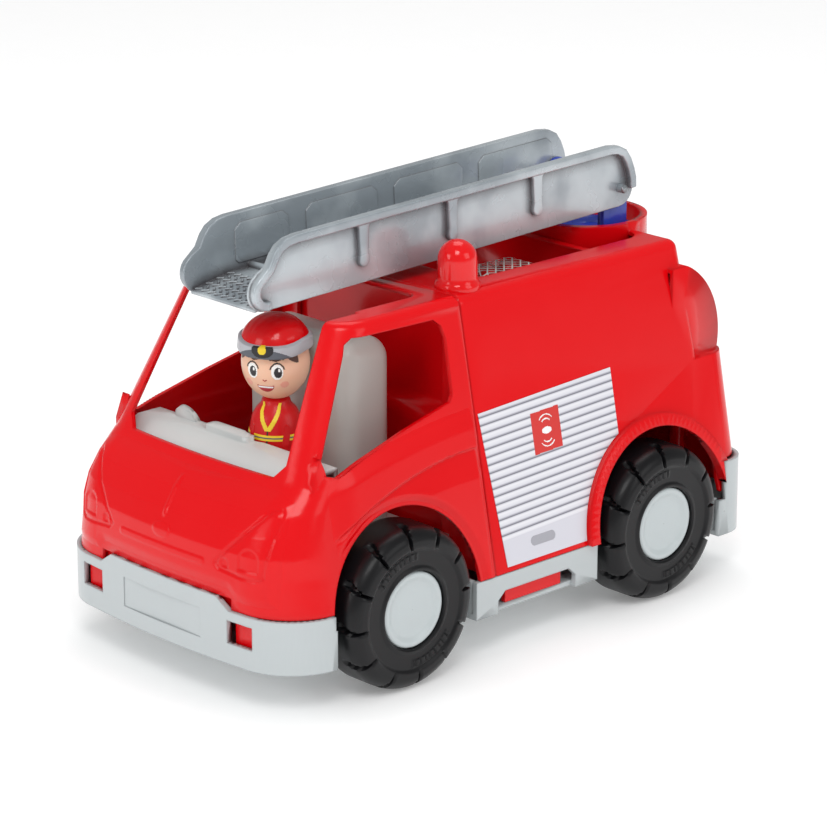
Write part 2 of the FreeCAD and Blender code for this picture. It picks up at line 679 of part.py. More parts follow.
def ladder():
    outline = [(turret_y + y, pivot_z + z) for y, z in rail_outline()]
    x_in = ladder_half_width - ladder_rim
    web = side_prism(outline, x_in, x_in + ladder_rail_thickness)
    rim_outer = side_prism(outline, x_in, ladder_half_width)
    rim = rim_outer.cut(block(-100, 100, -200, 200, 0, pivot_z + ladder_rail_top - 4.0))
    parts = both_sides(web) + both_sides(rim)
    bay = (ladder_length - 6.0) / ladder_bays
    for i in range(1, ladder_bays):
        y = turret_y - bay * i - 3.0
        post = block(x_in, ladder_half_width, y - 2.5, y + 2.5, pivot_z - 5.0, pivot_z + ladder_rail_top)
        parts += both_sides(post)
    for y in (turret_y, turret_y - ladder_length):
        lobe = cross_rod(y, pivot_z, ladder_lobe_radius, ear_outer_x + 0.5, ladder_half_width)
        parts += both_sides(lobe)
    floor_z = pivot_z - ladder_floor_below
    front = turret_y - ladder_length
    floor = block(-x_in - 0.5, x_in + 0.5, front + 20, turret_y - 14, floor_z - 2.2, floor_z)
    ramp = side_prism([(front + 20, floor_z - 2.2), (front + 20, floor_z), (front - 6, floor_z - 4.0),
                       (front - 6, floor_z - 6.2)], -x_in - 0.5, x_in + 0.5)
    body = fuse(parts + [floor, ramp])
    body = body.cut(cross_rod(turret_y, pivot_z, pin_radius, -60, 60))
    body.rotate(V(0, turret_y, pivot_z), V(1, 0, 0), ladder_tilt_deg)
    return body


# ---------------------------------------------------------------- figure
def figure_body():
    r = figure_radius
    z0 = figure_foot_z - socket_depth + fit_gap
    profile = [(0, z0), (r - 1, z0), (r - 1, figure_foot_z), (r, figure_foot_z + fit_gap), (r + 1, figure_foot_z + 12),
               (r - 0.5, figure_neck_z - 10), (r - 4, figure_neck_z - 3), (8.0, figure_neck_z), (0, figure_neck_z)]
    return revolve_about_z(profile, figure_x, figure_y)


def ball_profile(radius, centre_z, z_low, z_high, steps=10):
    """Profile of a slightly tall ball between two heights."""
    stretch = 1.12
    points = []
    for i in range(steps + 1):
        z = z_low + (z_high - z_low) * i / steps
        reach = 1 - ((z - centre_z) / (radius * stretch)) ** 2
        points.append((radius * math.sqrt(max(reach, 0.0)), z))
    return points


helmet_brim_z = 163.0


def figure_head():
    centre = figure_neck_z + figure_head_radius * 1.12 - 1.0
    points = ball_profile(figure_head_radius, centre, figure_neck_z, helmet_brim_z)
    return revolve_about_z([(0, figure_neck_z)] + points + [(0, helmet_brim_z)], figure_x, figure_y)


def figure_helmet():
    r = figure_head_radius
    height = figure_top_z - helmet_brim_z
    points = [(r + 2.2, helmet_brim_z), (r + 2.2, helmet_brim_z + 1.5), (r + 0.6, helmet_brim_z + 4)]
    steps = 8
    for i in range(1, steps + 1):
        turn = math.pi / 2 * i / steps
        points.append((max((r + 0.6) * math.cos(turn), 0), helmet_brim_z + 4 + (height - 4) * math.sin(turn)))
    return revolve_about_z([(0, helmet_brim_z)] + points, figure_x, figure_y)


# ---------------------------------------------------------------- cargo
def brick(x, y, z, nx, ny):
    """Hollow studded brick, centred at (x, y) with its foot at z."""
    lx, ly = nx * brick_pitch - 0.4, ny * brick_pitch - 0.4
    body = block(x - lx / 2, x + lx / 2, y - ly / 2, y + ly / 2, z, z + brick_height)
    t = 1.8
    body = body.cut(block(x - lx / 2 + t, x + lx / 2 - t, y - ly / 2 + t, y + ly / 2 - t, z - 1, z + brick_height - t))
    studs = []
    for i in range(nx):
        for j in range(ny):
            sx = x + (i - (nx - 1) / 2) * brick_pitch
            sy = y + (j - (ny - 1) / 2) * brick_pitch
            studs.append(rod((sx, sy, z + brick_height - 1), (0, 0, 1), stud_radius, stud_height + 1))
    return fuse([body] + studs)


brick_lift = brick_height + 0.1


def red_bricks():
    z = tray_floor_z + 0.1
    return Part.makeCompound([
        brick(18, 21, z, 2, 2), brick(-18, 56, z, 2, 2), brick(18, 56, z + brick_lift, 2, 2),
    ])


def grey_bricks():
    z = tray_floor_z + 0.1
    return Part.makeCompound([brick(-18, 21, z, 2, 2), brick(18, 56, z, 2, 2)])


def cargo_net():
    low, high = tray_floor_z + 0.3, box_roof_z - 4
    x, y0, y1 = 42.0, roof_opening_front_y + 1.0, 76.0
    outer = block(-x, x, y0, y1, low, high)
    inner = block(-x + 1.2, x - 1.2, y0 + 1.2, y1 - 1.2, low - 1, high - 1.2)
    return outer.cut(inner)


# ---------------------------------------------------------------- stickers and screws
def shutter(side):
    """Printed sheet on the box's side wall."""
    slope_points = [(-17, 45.5), (-23.5, 126), (75, 130), (75, 45.5)]
    sheet = side_prism(slope_points, 55, 120)
    skin = box_lower_solid(-sticker_thickness, sill_top_z, ledge_z + 14)
    skin = skin.cut(box_lower_solid(-sticker_thickness / 8, sill_top_z - 1, ledge_z + 16))
    body = sheet.common(skin)
    body = body.cut(cross_rod(rear_arch_y, axle_z, arch_lip_radius + 0.5, 50, 130))
    return body if side > 0 else mirrored(body)


def body_screws():
    screws = []
    for x, y in screw_places:
        z = base_bottom_z + 0.6
        screw = fuse([
            rod((x, y, z), (0, 0, 1), screw_head_radius, 2.3),
            rod((x, y, z), (0, 0, 1), screw_radius - 0.25, 20.0),
        ])
        slot = block(x - 2.4, x + 2.4, y - 0.5, y + 0.5, z - 1, z + 1.0)
        screws += both_sides(screw.cut(slot))
    return Part.makeCompound(screws)


# ---------------------------------------------------------------- write every node
def all_nodes():
    nodes = {
        "chassis_base": chassis_base(),
        "cab_shell": cab_shell(),
        "box_shell": box_shell(),
        "cab_interior": cab_interior(),
        "seat_bench": seat_bench(),
        "cargo_tray": cargo_tray(),
        "beacon": beacon(),
        "turntable": turntable(),
        "turntable_clip": turntable_clip(),
        "ladder": ladder(),
        "ladder_pin": ladder_pin(),
        "front_axle": axle(front_axle_y),
        "rear_axle": axle(rear_axle_y),
        "figure_body": figure_body(),
        "figure_head": figure_head(),
        "figure_helmet": figure_helmet(),
        "red_bricks": red_bricks(),
        "grey_bricks": grey_bricks(),
        "cargo_net": cargo_net(),
        "left_shutter": shutter(1),
        "right_shutter": shutter(-1),
        "body_screws": body_screws(),
    }
    for end, y in (("front", front_axle_y), ("rear", rear_axle_y)):
        for name, side in (("left", 1), ("right", -1)):
            nodes[f"{end}_{name}_tyre"] = tyre(y, side)
            nodes[f"{end}_{name}_hub_cap"] = hub_cap(y, side)
    return nodes


if __name__ == "__main__":
    os.makedirs("parts", exist_ok=True)
    for node, shape in all_nodes().items():
        shape.exportStep(f"parts/{node}.step")
        box = shape.BoundBox
        print(f"{node:20s} solids {len(shape.Solids)} valid {shape.isValid()} volume {shape.Volume:.0f} "
              f"x {box.XMin:.1f}..{box.XMax:.1f} y {box.YMin:.1f}..{box.YMax:.1f} z {box.ZMin:.1f}..{box.ZMax:.1f}")
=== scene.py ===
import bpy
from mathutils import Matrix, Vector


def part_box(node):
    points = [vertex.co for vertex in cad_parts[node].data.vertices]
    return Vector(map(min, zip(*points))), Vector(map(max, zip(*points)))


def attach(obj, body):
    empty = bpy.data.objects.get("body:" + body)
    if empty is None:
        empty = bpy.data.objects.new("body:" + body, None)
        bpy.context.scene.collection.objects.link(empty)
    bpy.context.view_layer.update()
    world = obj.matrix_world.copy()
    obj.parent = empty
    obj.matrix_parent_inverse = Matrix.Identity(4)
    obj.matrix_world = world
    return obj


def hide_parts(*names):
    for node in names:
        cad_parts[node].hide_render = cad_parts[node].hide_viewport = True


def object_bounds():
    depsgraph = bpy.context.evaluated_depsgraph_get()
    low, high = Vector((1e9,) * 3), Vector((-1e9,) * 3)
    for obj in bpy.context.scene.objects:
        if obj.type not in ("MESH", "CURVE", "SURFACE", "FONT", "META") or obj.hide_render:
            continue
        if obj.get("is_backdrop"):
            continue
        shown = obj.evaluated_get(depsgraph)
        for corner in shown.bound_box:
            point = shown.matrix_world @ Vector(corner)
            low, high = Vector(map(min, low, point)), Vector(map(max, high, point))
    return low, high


bl_info = {
    "name": "Toy Fire Engine",
    "version": (1, 0, 0),
    "blender": (4, 5, 0),
    "location": "View3D > Sidebar > Fire Engine",
    "description": "Builds the visible pieces of a toy fire engine around its packed CAD frame",
    "category": "Object",
}

import math

import bmesh
import bpy
from bpy.props import FloatProperty, FloatVectorProperty, IntProperty, PointerProperty
from mathutils import Vector
from mathutils.bvhtree import BVHTree

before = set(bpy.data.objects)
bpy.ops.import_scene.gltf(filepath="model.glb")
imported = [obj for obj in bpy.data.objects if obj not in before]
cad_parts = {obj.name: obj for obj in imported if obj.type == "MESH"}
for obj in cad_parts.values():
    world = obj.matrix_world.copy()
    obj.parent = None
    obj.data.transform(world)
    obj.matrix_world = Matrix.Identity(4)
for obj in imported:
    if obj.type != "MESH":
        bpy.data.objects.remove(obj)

MM = 0.001
BODY = "body"
FRONT_WHEELS = "front_wheels"
REAR_WHEELS = "rear_wheels"
HIDDEN = -0.0004               # a relief is sunk this far where it isn't wanted

SHELL_RED = (0.70, 0.0012, 0.004)
CHASSIS_GREY = (0.47, 0.51, 0.52)
PRINT_DARK = (0.02, 0.018, 0.02)
MOTTLE_SCALE = 45.0            # noise scales of the plastics
GRAIN_SCALE = 1800.0
PRINT_THICKNESS = 0.00012
RELIEF_SMOOTH_DEG = 50.0
FIGURE_STEP = 0.00030          # grid of the figure's prints
SLAT_PITCH = 4.15 * MM         # roller shutter
SLAT_SLOPE = -0.035            # its slats rise towards the cab
FOOT_SHARE = 0.17              # plain strip at its foot
CORD_SHARE = 0.085             # half a net cord's width over the net's pitch
WORLD_STRENGTH = 0.78
WORLD_STRENGTH_IN_GLOSS = 0.30
FLOOR_GLOW = 0.16
LAMPS = (                      # name, place, size in metres, power in watts
    ("key", (0.9, -0.9, 1.6), 0.7, 9.0), ("fill", (1.7, 0.5, 0.9), 0.9, 4.0),
    ("front", (-0.3, -1.8, 0.8), 0.7, 4.0), ("top", (-0.4, 0.5, 1.8), 1.0, 6.0))
LAMP_TARGET = (0.0, 0.0, 0.10)
CAMERA_PLACE = (1.27552, -1.20903, 0.66821)
CAMERA_AZIMUTH = math.radians(46.436)
CAMERA_ELEVATION = math.radians(17.819)
CAMERA_LENS = 151.4
CAMERA_SENSOR = 36.0


# ---------------------------------------------------------------- materials
def node_link(tree, source, output, target, name):
    tree.links.new(source.outputs[output], target.inputs[name])


def math_node(tree, operation, *values):
    """Output of a Math node. Each value is a number or the output of another node."""
    node = tree.nodes.new("ShaderNodeMath")
    node.operation = operation
    for socket, value in zip(node.inputs, values):
        if isinstance(value, float):
            socket.default_value = value
        else:
            tree.links.new(value, socket)
    return node.outputs[0]


def mix_color(tree, factor, low, high):
    """Output of a colour mix. low is a fixed colour, high the output of another node."""
    mix = tree.nodes.new("ShaderNodeMix")
    mix.data_type = "RGBA"
    mix.inputs["A"].default_value = (*low, 1)
    tree.links.new(factor, mix.inputs["Factor"])
    tree.links.new(high, mix.inputs["B"])
    return mix.outputs["Result"]


def plastic(name, color, rough=0.3, coat=0.0, edge=0.8, mottle=0.05, grain=0.02, metallic=0.0,
            subsurface=0.0, shine=0.5):
    """Moulded plastic: faint flow mottling, fine grain and softly rounded edges."""
    material = bpy.data.materials.new(name)
    material.use_nodes = True
    tree = material.node_tree
    new = tree.nodes.new
    shader = tree.nodes["Principled BSDF"]
    coords = new("ShaderNodeTexCoord")
    noise = new("ShaderNodeTexNoise")
    noise.inputs["Scale"].default_value = MOTTLE_SCALE
    noise.inputs["Detail"].default_value = 3.0
    node_link(tree, coords, "Object", noise, "Vector")
    mix = new("ShaderNodeMix")
    mix.data_type = "RGBA"
    low = [c * (1 - mottle) for c in color]
    high = [min(c * (1 + mottle), 1.0) for c in color]
    mix.inputs["A"].default_value = (*low, 1)
    mix.inputs["B"].default_value = (*high, 1)
    tree.links.new(noise.outputs["Fac"], mix.inputs["Factor"])
    tree.links.new(mix.outputs["Result"], shader.inputs["Base Color"])
    spread = new("ShaderNodeMapRange")
    spread.inputs["To Min"].default_value = rough * 0.85
    spread.inputs["To Max"].default_value = rough * 1.15
    tree.links.new(noise.outputs["Fac"], spread.inputs["Value"])
    tree.links.new(spread.outputs["Result"], shader.inputs["Roughness"])
    fine = new("ShaderNodeTexNoise")
    fine.inputs["Scale"].default_value = GRAIN_SCALE
    node_link(tree, coords, "Object", fine, "Vector")
    bump = new("ShaderNodeBump")
    bump.inputs["Strength"].default_value = grain
    bump.inputs["Distance"].default_value = 0.0001
    tree.links.new(fine.outputs["Fac"], bump.inputs["Height"])
    if edge > 0:
        bevel = new("ShaderNodeBevel")
        bevel.samples = 4
        bevel.inputs["Radius"].default_value = edge * MM
        tree.links.new(bevel.outputs["Normal"], bump.inputs["Normal"])
    tree.links.new(bump.outputs["Normal"], shader.inputs["Normal"])
    shader.inputs["Specular IOR Level"].default_value = shine
    shader.inputs["Coat Weight"].default_value = coat
    shader.inputs["Coat Roughness"].default_value = 0.06
    shader.inputs["Metallic"].default_value = metallic
    shader.inputs["Subsurface Weight"].default_value = subsurface
    shader.inputs["Subsurface Scale"].default_value = 0.004
    return material


def silver_material():
    """Silvery plastic with the pale swirls that metal flake leaves where the melt has flowed, and painted shade in its
    recesses.
    """
    material = plastic("silver_plastic", (0.40, 0.45, 0.50), rough=0.27, coat=0.35, edge=0.7, grain=0.03)
    tree = material.node_tree
    shader = tree.nodes["Principled BSDF"]
    coords = tree.nodes.new("ShaderNodeTexCoord")
    swirl = tree.nodes.new("ShaderNodeTexWave")
    swirl.inputs["Scale"].default_value = 9.0
    swirl.inputs["Distortion"].default_value = 9.0
    swirl.inputs["Detail"].default_value = 4.0
    swirl.inputs["Detail Scale"].default_value = 1.4
    node_link(tree, coords, "Object", swirl, "Vector")
    ramp = tree.nodes.new("ShaderNodeValToRGB")
    ramp.color_ramp.elements[0].color = (0.31, 0.35, 0.38, 1)
    ramp.color_ramp.elements[1].color = (0.50, 0.55, 0.58, 1)
    ramp.color_ramp.elements[0].position = 0.15
    tree.links.new(swirl.outputs["Fac"], ramp.inputs["Fac"])
    # Painted shade: ambient occlusion darkens the colour towards dark brown in the recesses, under the rim and beside
    # the ribs.
    recess = tree.nodes.new("ShaderNodeAmbientOcclusion")
    recess.only_local = True
    recess.samples = 8
    recess.inputs["Distance"].default_value = 0.007
    depth = math_node(tree, "POWER", recess.outputs["AO"], 1.7)
    shaded = mix_color(tree, depth, (0.07, 0.055, 0.06), ramp.outputs["Color"])
    tree.links.new(shaded, shader.inputs["Base Color"])
    shader.inputs["Metallic"].default_value = 0.30
    return material


def shutter_material(low_z, high_z):
    """Printed roller shutter: dark slat lines over lilac silver, with a plain strip at the foot."""
    material = plastic("shutter_print", (0.62, 0.61, 0.66), rough=0.34, coat=0.2, edge=0.0)
    tree = material.node_tree
    new = tree.nodes.new
    shader = tree.nodes["Principled BSDF"]
    coords = new("ShaderNodeTexCoord")
    split = new("ShaderNodeSeparateXYZ")
    node_link(tree, coords, "Object", split, "Vector")
    slope = math_node(tree, "MULTIPLY_ADD", split.outputs["Y"], SLAT_SLOPE, split.outputs["Z"])
    fraction = math_node(tree, "FRACT", math_node(tree, "DIVIDE", slope, SLAT_PITCH))
    ramp = new("ShaderNodeValToRGB")
    stops = [(0.0, (0.12, 0.12, 0.15)), (0.12, (0.30, 0.30, 0.35)), (0.3, (0.66, 0.66, 0.72)),
             (0.75, (0.78, 0.78, 0.82)), (0.92, (0.60, 0.60, 0.66)), (1.0, (0.14, 0.14, 0.17))]
    elements = ramp.color_ramp.elements
    elements[0].position, elements[0].color = stops[0][0], (*stops[0][1], 1)
    elements[1].position, elements[1].color = stops[-1][0], (*stops[-1][1], 1)
    for position, color in stops[1:-1]:
        element = elements.new(position)
        element.color = (*color, 1)
    tree.links.new(fraction, ramp.inputs["Fac"])
    above = math_node(tree, "GREATER_THAN", slope, low_z + FOOT_SHARE * (high_z - low_z))
    printed = mix_color(tree, above, (0.62, 0.62, 0.68), ramp.outputs["Color"])
    tree.links.new(printed, shader.inputs["Base Color"])
    return material


def net_material(pitch):
    """Knotted white cord: a diamond mesh, clear between the cords, driven by the sheet's own UVs."""
    material = plastic("net_cord", (0.80, 0.80, 0.77), rough=0.75, edge=0.0, grain=0.4, mottle=0.12)
    tree = material.node_tree
    new = tree.nodes.new
    shader = tree.nodes["Principled BSDF"]
    uv = new("ShaderNodeUVMap")
    split = new("ShaderNodeSeparateXYZ")
    node_link(tree, uv, "UV", split, "Vector")
    bands = []
    for sign in (1.0, -1.0):
        lean = math_node(tree, "MULTIPLY_ADD", split.outputs["X"], sign, split.outputs["Y"])
        wave = math_node(tree, "PINGPONG", lean, pitch / 2)
        bands.append(math_node(tree, "LESS_THAN", wave, pitch * CORD_SHARE))
    tree.links.new(math_node(tree, "MAXIMUM", *bands), shader.inputs["Alpha"])
    return material


# ---------------------------------------------------------------- mesh helpers
def finish_piece(piece, body, material, nodes=()):
    """Gives a new piece its material and body, and hides the CAD nodes that it stands for."""
    piece.data.materials.clear()
    piece.data.materials.append(material)
    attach(piece, body)
    if nodes:
        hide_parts(*nodes)
    return piece


def add_object(name, mesh):
    piece = bpy.data.objects.new(name, mesh)
    bpy.context.scene.collection.objects.link(piece)
    return piece


def mesh_piece(name, verts, faces, smooth_deg=35.0):
    mesh = bpy.data.meshes.new(name)
    mesh.from_pydata([tuple(v) for v in verts], [], faces)
    mesh.validate()
    shade(mesh, smooth_deg)
    return add_object(name, mesh)


def shade(mesh, smooth_deg):
    bm = bmesh.new()
    bm.from_mesh(mesh)
    bmesh.ops.remove_doubles(bm, verts=bm.verts, dist=1e-6)
    bmesh.ops.recalc_face_normals(bm, faces=bm.faces)
    bm.to_mesh(mesh)
    bm.free()
    mesh.shade_smooth()
    mesh.set_sharp_from_angle(angle=math.radians(smooth_deg))


def smooth_copy(node, name, body, material, smooth_deg=32.0):
    """A smoothly shaded twin of a CAD node, shown in its place."""
    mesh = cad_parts[node].data.copy()
    mesh.name = name
    for layer in list(mesh.uv_layers):
        mesh.uv_layers.remove(layer)
    if mesh.has_custom_normals:
        bm = bmesh.new()
        bm.from_mesh(mesh)
        mesh = bpy.data.meshes.new(name)
        bm.to_mesh(mesh)
        bm.free()
    shade(mesh, smooth_deg)
    piece = add_object(name, mesh)
    weighted = piece.modifiers.new("even shading", "WEIGHTED_NORMAL")
    weighted.keep_sharp = True
    return finish_piece(piece, body, material, (node,))


def tree_of(*nodes):
    """A ray-casting tree over CAD nodes."""
    verts, faces = [], []
    for node in nodes:
        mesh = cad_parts[node].data
        start = len(verts)
        verts += [v.co.copy() for v in mesh.vertices]
        faces += [[i + start for i in p.vertices] for p in mesh.polygons]
    return BVHTree.FromPolygons(verts, faces)


def lathe(name, profile, centre, axis, segments=96, change=None):
    """Turns (along, radius) points about an axis through centre. change(along, radius, turn) may move a point."""
    verts, faces = [], []
    count = len(profile)
    for s in range(segments):
        turn = 2 * math.pi * s / segments
        for along, radius in profile:
            a, r = change(along, radius, turn) if change else (along, radius)
            if axis == "X":
                verts.append(centre + Vector((a, r * math.sin(turn), r * math.cos(turn))))
            else:
                verts.append(centre + Vector((r * math.sin(turn), -r * math.cos(turn), a)))
    for s in range(segments):
        t = (s + 1) % segments
        for i in range(count - 1):
            faces.append([s * count + i, s * count + i + 1, t * count + i + 1, t * count + i])
    return mesh_piece(name, verts, faces)


def relief(name, tree, u_range, v_range, step, ray, height):
    """A raised or printed shape laid on a surface: it is sunk out of sight wherever height is HIDDEN."""
    nu = max(2, int(round((u_range[1] - u_range[0]) / step)))
    nv = max(2, int(round((v_range[1] - v_range[0]) / step)))
    verts, faces, index = [], [], {}
    for i in range(nu + 1):
        for j in range(nv + 1):
            u = u_range[0] + (u_range[1] - u_range[0]) * i / nu
            v = v_range[0] + (v_range[1] - v_range[0]) * j / nv
            rise = height(u, v)
            if rise is None:
                continue
            origin, direction = ray(u, v)
            hit, normal = tree.ray_cast(origin, direction)[:2]
            if hit is None:
                continue
            if normal.dot(direction) > 0:
                normal = -normal
            index[i, j] = len(verts)
            verts.append(hit + (normal * 0.5 - direction.normalized() * 0.5).normalized() * rise)
    for i in range(nu):
        for j in range(nv):
            corners = [(i, j), (i + 1, j), (i + 1, j + 1), (i, j + 1)]
            if all(c in index for c in corners):
                quad = [index[c] for c in corners]
                spans = [(verts[quad[k]] - verts[quad[(k + 1) % 4]]).length for k in range(4)]
                if max(spans) < step * 6:
                    faces.append(quad)
    return mesh_piece(name, verts, faces, RELIEF_SMOOTH_DEG)


def tube(name, points, radius, resolution=10):
    """A round bar through the points."""
    curve = bpy.data.curves.new(name, "CURVE")
    curve.dimensions = "3D"
    spline = curve.splines.new("POLY")
    spline.points.add(len(points) - 1)
    for target, p in zip(spline.points, points):
        target.co = (*p, 1)
    curve.bevel_depth = radius
    curve.bevel_resolution = resolution // 2
    curve.use_fill_caps = True
    temp = bpy.data.objects.new(name + "_line", curve)
    bpy.context.scene.collection.objects.link(temp)
    mesh = bpy.data.meshes.new_from_object(temp)
    bpy.data.objects.remove(temp)
    mesh.name = name
    shade(mesh, 50)
    return add_object(name, mesh)


def slab(name, points, x0, x1, round_by=0.6, segments=3):
    """A plate: (y, z) outline between two x planes, with rounded edges."""
    count = len(points)
    verts = [(x0, y, z) for y, z in points] + [(x1, y, z) for y, z in points]
    faces = [list(range(count)), list(range(2 * count - 1, count - 1, -1))]
    faces += [[k, k + count, (k + 1) % count + count, (k + 1) % count] for k in range(count)]
    piece = mesh_piece(name, verts, faces)
    bevel = piece.modifiers.new("rounding", "BEVEL")
    bevel.width = round_by * MM
    bevel.segments = segments
    bevel.limit_method = "ANGLE"
    bevel.harden_normals = True
    return piece


def join_pieces(name, pieces):
    """One piece from several, with their modifiers applied."""
    depsgraph = bpy.context.evaluated_depsgraph_get()
    verts, faces = [], []
    for piece in pieces:
        mesh = bpy.data.meshes.new_from_object(piece.evaluated_get(depsgraph))
        start = len(verts)
        verts += [v.co.copy() for v in mesh.vertices]
        faces += [[i + start for i in p.vertices] for p in mesh.polygons]
        bpy.data.meshes.remove(mesh)
        bpy.data.objects.remove(piece)
    return mesh_piece(name, verts, faces)


# ---------------------------------------------------------------- flat shapes for reliefs
def ramp(value, low, high):
    t = min(max((value - low) / (high - low), 0.0), 1.0)
    return t * t * (3 - 2 * t)


def ellipse(u, v, cu, cv, ru, rv):
    """Distance inside an ellipse, positive inside."""
    reach = math.hypot((u - cu) / ru, (v - cv) / rv)
    return (1 - reach) * min(ru, rv)


def polygon_distance(u, v, points):
    """Distance inside a closed polygon, positive inside."""
    inside = False
    best = 1e9
    count = len(points)
    for k in range(count):
        (x0, y0), (x1, y1) = points[k], points[(k + 1) % count]
        if (y0 > v) != (y1 > v) and u < (x1 - x0) * (v - y0) / (y1 - y0) + x0:
            inside = not inside
        span = (x1 - x0) ** 2 + (y1 - y0) ** 2
        t = min(max(((u - x0) * (x1 - x0) + (v - y0) * (y1 - y0)) / span, 0), 1)
        best = min(best, math.hypot(u - x0 - t * (x1 - x0), v - y0 - t * (y1 - y0)))
    return best if inside else -best


def line_distance(u, v, points):
    """Distance to an open line of points."""
    best = 1e9
    for (x0, y0), (x1, y1) in zip(points, points[1:]):
        span = (x1 - x0) ** 2 + (y1 - y0) ** 2
        t = min(max(((u - x0) * (x1 - x0) + (v - y0) * (y1 - y0)) / span, 0), 1)
        best = min(best, math.hypot(u - x0 - t * (x1 - x0), v - y0 - t * (y1 - y0)))
    return best


def print_height(distance, thickness=PRINT_THICKNESS):
    """Height of a print: its thickness inside the shape, sunk outside."""
    if distance < -0.0012:
        return None
    return thickness if distance > 0 else HIDDEN


# ---------------------------------------------------------------- sizes, with their units
class FireEngineSizes(bpy.types.PropertyGroup):
    """Sizes of the visible detail, and the two main colours."""
    relief_step: FloatProperty(
        name="Relief step", description="Grid spacing of moulded reliefs", unit="LENGTH", default=0.0006)
    tyre_segments: IntProperty(
        name="Tyre segments", description="Steps round each tyre", default=240, min=48)
    net_pitch: FloatProperty(
        name="Net pitch", description="Distance between the net's knots", unit="LENGTH", default=0.0062)
    face_turn: FloatProperty(
        name="Face turn", description="How far the figure looks to its left", unit="ROTATION",
        default=math.radians(29.0))
    shell_red: FloatVectorProperty(
        name="Shell red", description="Colour of the cab, the box and the tray", subtype="COLOR", default=SHELL_RED)
    chassis_grey: FloatVectorProperty(
        name="Chassis grey", description="Colour of the base and its bumpers", subtype="COLOR", default=CHASSIS_GREY)


# ---------------------------------------------------------------- shells
def from_front(u, v):
    return Vector((u, -0.4, v)), Vector((0, 1, 0))


def from_side(side):
    def ray(u, v):
        return Vector((side * 0.3, u, v)), Vector((-side, 0, 0))
    return ray


LAMP = [(0.0658, 0.1015), (0.0690, 0.1030), (0.0712, 0.1012), (0.0718, 0.0935), (0.0708, 0.0826), (0.0692, 0.0706),
        (0.0662, 0.0690), (0.0557, 0.0695), (0.0427, 0.0708), (0.0402, 0.0730), (0.0434, 0.0770), (0.0566, 0.0905)]
NOSE_EDGE = [(-0.0800, 0.0530), (-0.0530, 0.0530), (-0.0470, 0.0585), (0.0470, 0.0585), (0.0530, 0.0530),
             (0.0800, 0.0530), (0.0790, 0.0900), (0.0750, 0.1080), (0.0640, 0.1125), (-0.0640, 0.1125),
             (-0.0750, 0.1080), (-0.0790, 0.0900)]
COWL = [(0.0, 0.1075), (0.0210, 0.1085), (0.0512, 0.1105), (0.0700, 0.1118)]


def arched_recess(x, z, cx, foot, half, top):
    """Distance inside a shape with a flat foot and a round head."""
    head = top - half
    if z > head:
        return half - math.hypot(x - cx, z - head)
    return min(half - abs(x - cx), z - foot)


def nose_height(x, z):
    """Relief of the nose: lamp panels with two recesses each, a bar, a boss, a hood rib and the cowl's crease."""
    edge = polygon_distance(x, z, NOSE_EDGE)
    if edge < -0.002:
        return None
    s = abs(x)
    lift = ramp(edge, 0.0, 0.008)
    skin = 0.0
    lamp = polygon_distance(s, z, LAMP)
    skin -= 0.00090 * (1 - ramp(abs(lamp), 0.0, 0.0015))
    skin -= 0.00030 * ramp(lamp, 0.0, 0.0015)
    large = arched_recess(s, z, 0.0613, 0.0722, 0.0062, 0.0842)
    small = arched_recess(s, z, 0.0462, 0.0715, 0.0026, 0.0768)
    for recess in (large, small):
        skin -= 0.00068 * ramp(recess, -0.0001, 0.0008)
    bar = 0.0018 - math.hypot(max(s - 0.0310, 0.0), z - 0.0716)
    skin += 0.00045 * ramp(bar, -0.0006, 0.0008)
    boss = ellipse(x, z, 0.0, 0.0800, 0.0072, 0.0042)
    skin += 0.00050 * ramp(boss, -0.0002, 0.0012)
    rib = line_distance(x, z, [(0.0, 0.1040), (0.0, 0.0880)])
    skin += 0.00045 * (1 - ramp(rib, 0.0006, 0.0018))
    brow = line_distance(s, z, COWL)
    skin += 0.00050 * (1 - ramp(brow, 0.0, 0.0016)) * (1 - ramp(s, 0.060, 0.070))
    return HIDDEN + lift * (0.00115 - HIDDEN) + skin * lift


